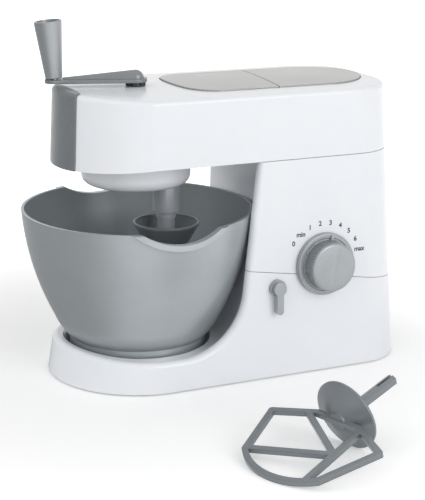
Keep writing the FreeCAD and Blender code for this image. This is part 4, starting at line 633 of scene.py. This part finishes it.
@dataclass
class Studio:
    """Pale floor, soft light and the camera.

    Polished faces show a painted dark reflection on their left: rays that mirror towards the left of the room meet a
    dim grey instead of white, while the light that falls from there is brightened as by a pale reflector.

    Args:
        floor_reach: Half the width of the floor in metres.
        fill: Brightness of the surroundings.
        reflector: Extra brightness of the surroundings on the left.
        painted_reflection_level: Brightness of the painted dark reflection that polished faces show towards the left,
            in place of white.
        left: Middle direction of the painted dark reflection and the reflector.
        glow: Glow of the floor beside the toy and of the floor far behind it.
        glow_reach: Distances from the bowl, in metres, between which the glow grows.
        left_edge: Closeness to that direction at which the painted dark reflection and the reflector start, and at
            which they are full.
        paper: sRGB colour of the floor.
        lamps: Softboxes.
        lamp_aim: Point that they face, in metres.
        camera: Camera of the photograph.
    """

    floor_reach: float = 8.0
    fill: float = 0.58
    reflector: float = 0.75
    painted_reflection_level: float = 0.3
    left: tuple[float, float, float] = (-0.95, 0.3, 0.0)
    glow: tuple[float, float] = (0.22, 0.75)
    glow_reach: tuple[float, float] = (0.12, 0.5)
    left_edge: tuple[float, float] = (0.1, 0.9)
    paper: str = "#EDEDED"
    lamps: tuple[Softbox, ...] = (
        Softbox("key", (0.55, -1.9, 0.9), 1.3, 15.5),
        Softbox("top", (-0.2, 0.1, 1.9), 1.2, 0.6),
    )
    lamp_aim: tuple[float, float, float] = (0.05, 0.0, 0.1)
    camera: PhotoCamera = PhotoCamera()

    def seen_directly(self, tree: bpy.types.NodeTree) -> bpy.types.NodeSocket:
        """Tell rays that show a surface from rays that light one.

        Args:
            tree: Node tree of the material or world.

        Returns:
            Socket that is 1 for camera, glossy and transmission rays.
        """
        path = add_node(tree, "ShaderNodeLightPath")
        seen = path.outputs["Is Camera Ray"]
        for name in ("Is Glossy Ray", "Is Transmission Ray"):
            seen = add_node(
                tree, "ShaderNodeMath", {"Value": seen, "Value_001": path.outputs[name]}, operation="MAXIMUM"
            ).outputs["Value"]
        return seen

    def leftness(self, tree: bpy.types.NodeTree, spot: bpy.types.NodeSocket) -> bpy.types.NodeSocket:
        """Tell how far a direction or a place lies towards the left of the room.

        Args:
            tree: Node tree of the material or world.
            spot: Direction, or place as seen from the bowl.

        Returns:
            Socket that runs from 0 to 1.
        """
        unit = add_node(tree, "ShaderNodeVectorMath", {"Vector": spot}, operation="NORMALIZE").outputs["Vector"]
        sides = {"Vector": unit, "Vector_001": self.left}
        share = add_node(tree, "ShaderNodeVectorMath", sides, operation="DOT_PRODUCT").outputs["Value"]
        ramp = {"Value": share, "From Min": self.left_edge[0], "From Max": self.left_edge[1]}
        return add_node(tree, "ShaderNodeMapRange", ramp, interpolation_type="SMOOTHSTEP").outputs["Result"]

    def painted_reflection_share(self, tree: bpy.types.NodeTree, leftness: bpy.types.NodeSocket) -> bpy.types.NodeSocket:
        """Tell how much of the painted dark reflection a ray meets, which only mirroring rays do.

        Args:
            tree: Node tree of the material or world.
            leftness: Socket of the direction's or the place's leftness.

        Returns:
            Socket that runs from 0 to 1.
        """
        glossy = add_node(tree, "ShaderNodeLightPath").outputs["Is Glossy Ray"]
        both = {"Value": leftness, "Value_001": glossy}
        return add_node(tree, "ShaderNodeMath", both, operation="MULTIPLY").outputs["Value"]

    def build_floor(self) -> None:
        """Lay a white floor that keeps the toy's shadow."""
        mesh = bmesh.new()
        bmesh.ops.create_grid(mesh, x_segments=2, y_segments=2, size=self.floor_reach)
        material = bpy.data.materials.new("paper_backdrop_matt")
        material.use_nodes = True
        tree = material.node_tree
        tree.nodes.clear()
        paper = add_node(tree, "ShaderNodeBsdfDiffuse", {"Color": linear(self.paper)}).outputs["BSDF"]
        spot = add_node(tree, "ShaderNodeTexCoord").outputs["Object"]
        away = add_node(tree, "ShaderNodeVectorMath", {"Vector": spot}, operation="LENGTH").outputs["Value"]
        near, far = self.glow_reach
        ramp = {"Value": away, "From Min": near, "From Max": far, "To Min": self.glow[0], "To Max": self.glow[1]}
        strength = add_node(tree, "ShaderNodeMapRange", ramp, interpolation_type="SMOOTHSTEP").outputs["Result"]
        light = {"Color": linear("#FFFFFF"), "Strength": strength}
        glow = add_node(tree, "ShaderNodeEmission", light).outputs["Emission"]
        lit = add_node(tree, "ShaderNodeAddShader", {"Shader": paper, "Shader_001": glow}).outputs["Shader"]
        shown = {"Fac": self.seen_directly(tree), "Shader": paper, "Shader_001": lit}
        plain = add_node(tree, "ShaderNodeMixShader", shown).outputs["Shader"]
        # Painted reflection: rays that mirror towards the left see the floor as a dim grey glow, not as white paper.
        grey = add_node(tree, "ShaderNodeEmission", {"Color": linear("#FFFFFF"), "Strength": self.painted_reflection_level})
        met = self.painted_reflection_share(tree, self.leftness(tree, spot))
        mixed = {"Fac": met, "Shader": plain, "Shader_001": grey.outputs["Emission"]}
        surface = add_node(tree, "ShaderNodeMixShader", mixed).outputs["Shader"]
        add_node(tree, "ShaderNodeOutputMaterial", {"Surface": surface})
        finished("floor", mesh, material)

    def build_world(self) -> None:
        """Surround the toy with soft light that shows as white."""
        world = bpy.data.worlds.new("studio")
        bpy.context.scene.world = world
        world.use_nodes = True
        tree = world.node_tree
        tree.nodes.clear()
        leftness = self.leftness(tree, add_node(tree, "ShaderNodeTexCoord").outputs["Generated"])
        room = {"Value": leftness, "To Min": self.fill, "To Max": self.fill + self.reflector}
        filled = add_node(tree, "ShaderNodeMapRange", room).outputs["Result"]
        # Painted reflection: rays that mirror towards the left see the surroundings dimmed to grey, though nothing
        # stands there.
        mirror = {"Value": self.painted_reflection_share(tree, leftness), "To Min": 1.0, "To Max": self.painted_reflection_level}
        shown = add_node(tree, "ShaderNodeMapRange", mirror).outputs["Result"]
        ray = {"Factor_Float": self.seen_directly(tree), "A_Float": filled, "B_Float": shown}
        strength = add_node(tree, "ShaderNodeMix", ray).outputs["Result"]
        light = add_node(tree, "ShaderNodeBackground", {"Color": linear("#FFFFFF"), "Strength": strength})
        add_node(tree, "ShaderNodeOutputWorld", {"Surface": light.outputs["Background"]})

    def add_lamp(self, box: Softbox) -> None:
        """Hang one of the lamps.

        Args:
            box: Lamp to hang.
        """
        light = bpy.data.lights.new(box.name, "AREA")
        light.size = box.width
        light.energy = box.power
        lamp = bpy.data.objects.new(box.name, light)
        bpy.context.scene.collection.objects.link(lamp)
        lamp.location = box.spot
        aim = Vector(self.lamp_aim) - Vector(box.spot)
        lamp.rotation_mode = "QUATERNION"
        lamp.rotation_quaternion = aim.to_track_quat("-Z", "Y")

    def build_camera(self) -> None:
        """Stand the camera where the photograph was taken from."""
        view = self.camera
        azimuth, elevation, roll = (math.radians(angle) for angle in (view.azimuth, view.elevation, view.roll))
        width, height = view.frame_px
        data = bpy.data.cameras.new("camera")
        data.sensor_width = view.sensor
        data.lens = view.focal_px / height * view.sensor
        data.shift_x = (width / 2 - view.centre_px[0]) / height
        data.shift_y = (view.centre_px[1] - height / 2) / height
        camera = bpy.data.objects.new("camera", data)
        bpy.context.scene.collection.objects.link(camera)
        flat = math.cos(elevation)
        back = Vector((math.sin(azimuth) * flat, -math.cos(azimuth) * flat, math.sin(elevation)))
        camera.location = Vector(view.aim) + back * view.distance
        camera.rotation_mode = "QUATERNION"
        level = (-back).to_track_quat("-Z", "Y")
        camera.rotation_quaternion = Quaternion(back, roll) @ level
        bpy.context.scene.camera = camera

    def build(self) -> None:
        """Build the whole studio."""
        self.build_floor()
        self.build_world()
        for box in self.lamps:
            self.add_lamp(box)
        self.build_camera()
        bpy.context.scene.view_settings.view_transform = "Standard"


def dress_solids(dressing: Dressing) -> None:
    """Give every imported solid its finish.

    Args:
        dressing: Store of materials.
    """
    dressing.dress(GLOSS_WHITE, "lower_case", "pillar_case", "head_case", "planet_carrier")
    dressing.dress(MATT_WHITE, "base_plate", "underplate")
    dressing.dress(FOOT_RUBBER, "foot_1", "foot_2", "foot_3", "foot_4")
    dressing.dress(ZINC_STEEL, "base_screws", "case_screws", "gear_screws", "carrier_screw", "hinge_pin", "grip_pin",
                   "drive_shaft", "lever_shaft", "click_leaf", "latch_keeper", "spindle_clip")
    dressing.dress(SATIN_GREY, "speed_dial", "release_lever", "crank_grip")
    dressing.dress(SOCKET_GREY, "tool_socket")
    dressing.dress(DEEP_GREY, "nose_cover", "crank_arm")
    dressing.dress(PEARL_GREY, "front_panel", "rear_panel")
    dressing.dress(SILVER_BOWL, "mixing_bowl")
    dressing.dress(TOOL_GREY, "k_beater", "dough_hook")
    dressing.dress(DARK_ACETAL, "drive_collar")
    dressing.dress(NATURAL_ACETAL, "ring_gear", "planet_gear", "top_bush", "dial_shaft")


def main() -> None:
    """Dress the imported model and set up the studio."""
    logging.basicConfig(level=logging.INFO, format="%(message)s")
    dressing = Dressing()
    dress_solids(dressing)
    wall = ControlWall()
    LOG.info("built %s", SpeedDial(wall).build(dressing.material(SATIN_GREY)).name)
    for piece in SpeedScale(wall).build(dressing.material(SCALE_INK)):
        LOG.info("printed %s", piece.name)
    Studio().build()
    LOG.info("studio is ready")


if __name__ == "__main__":
    main()
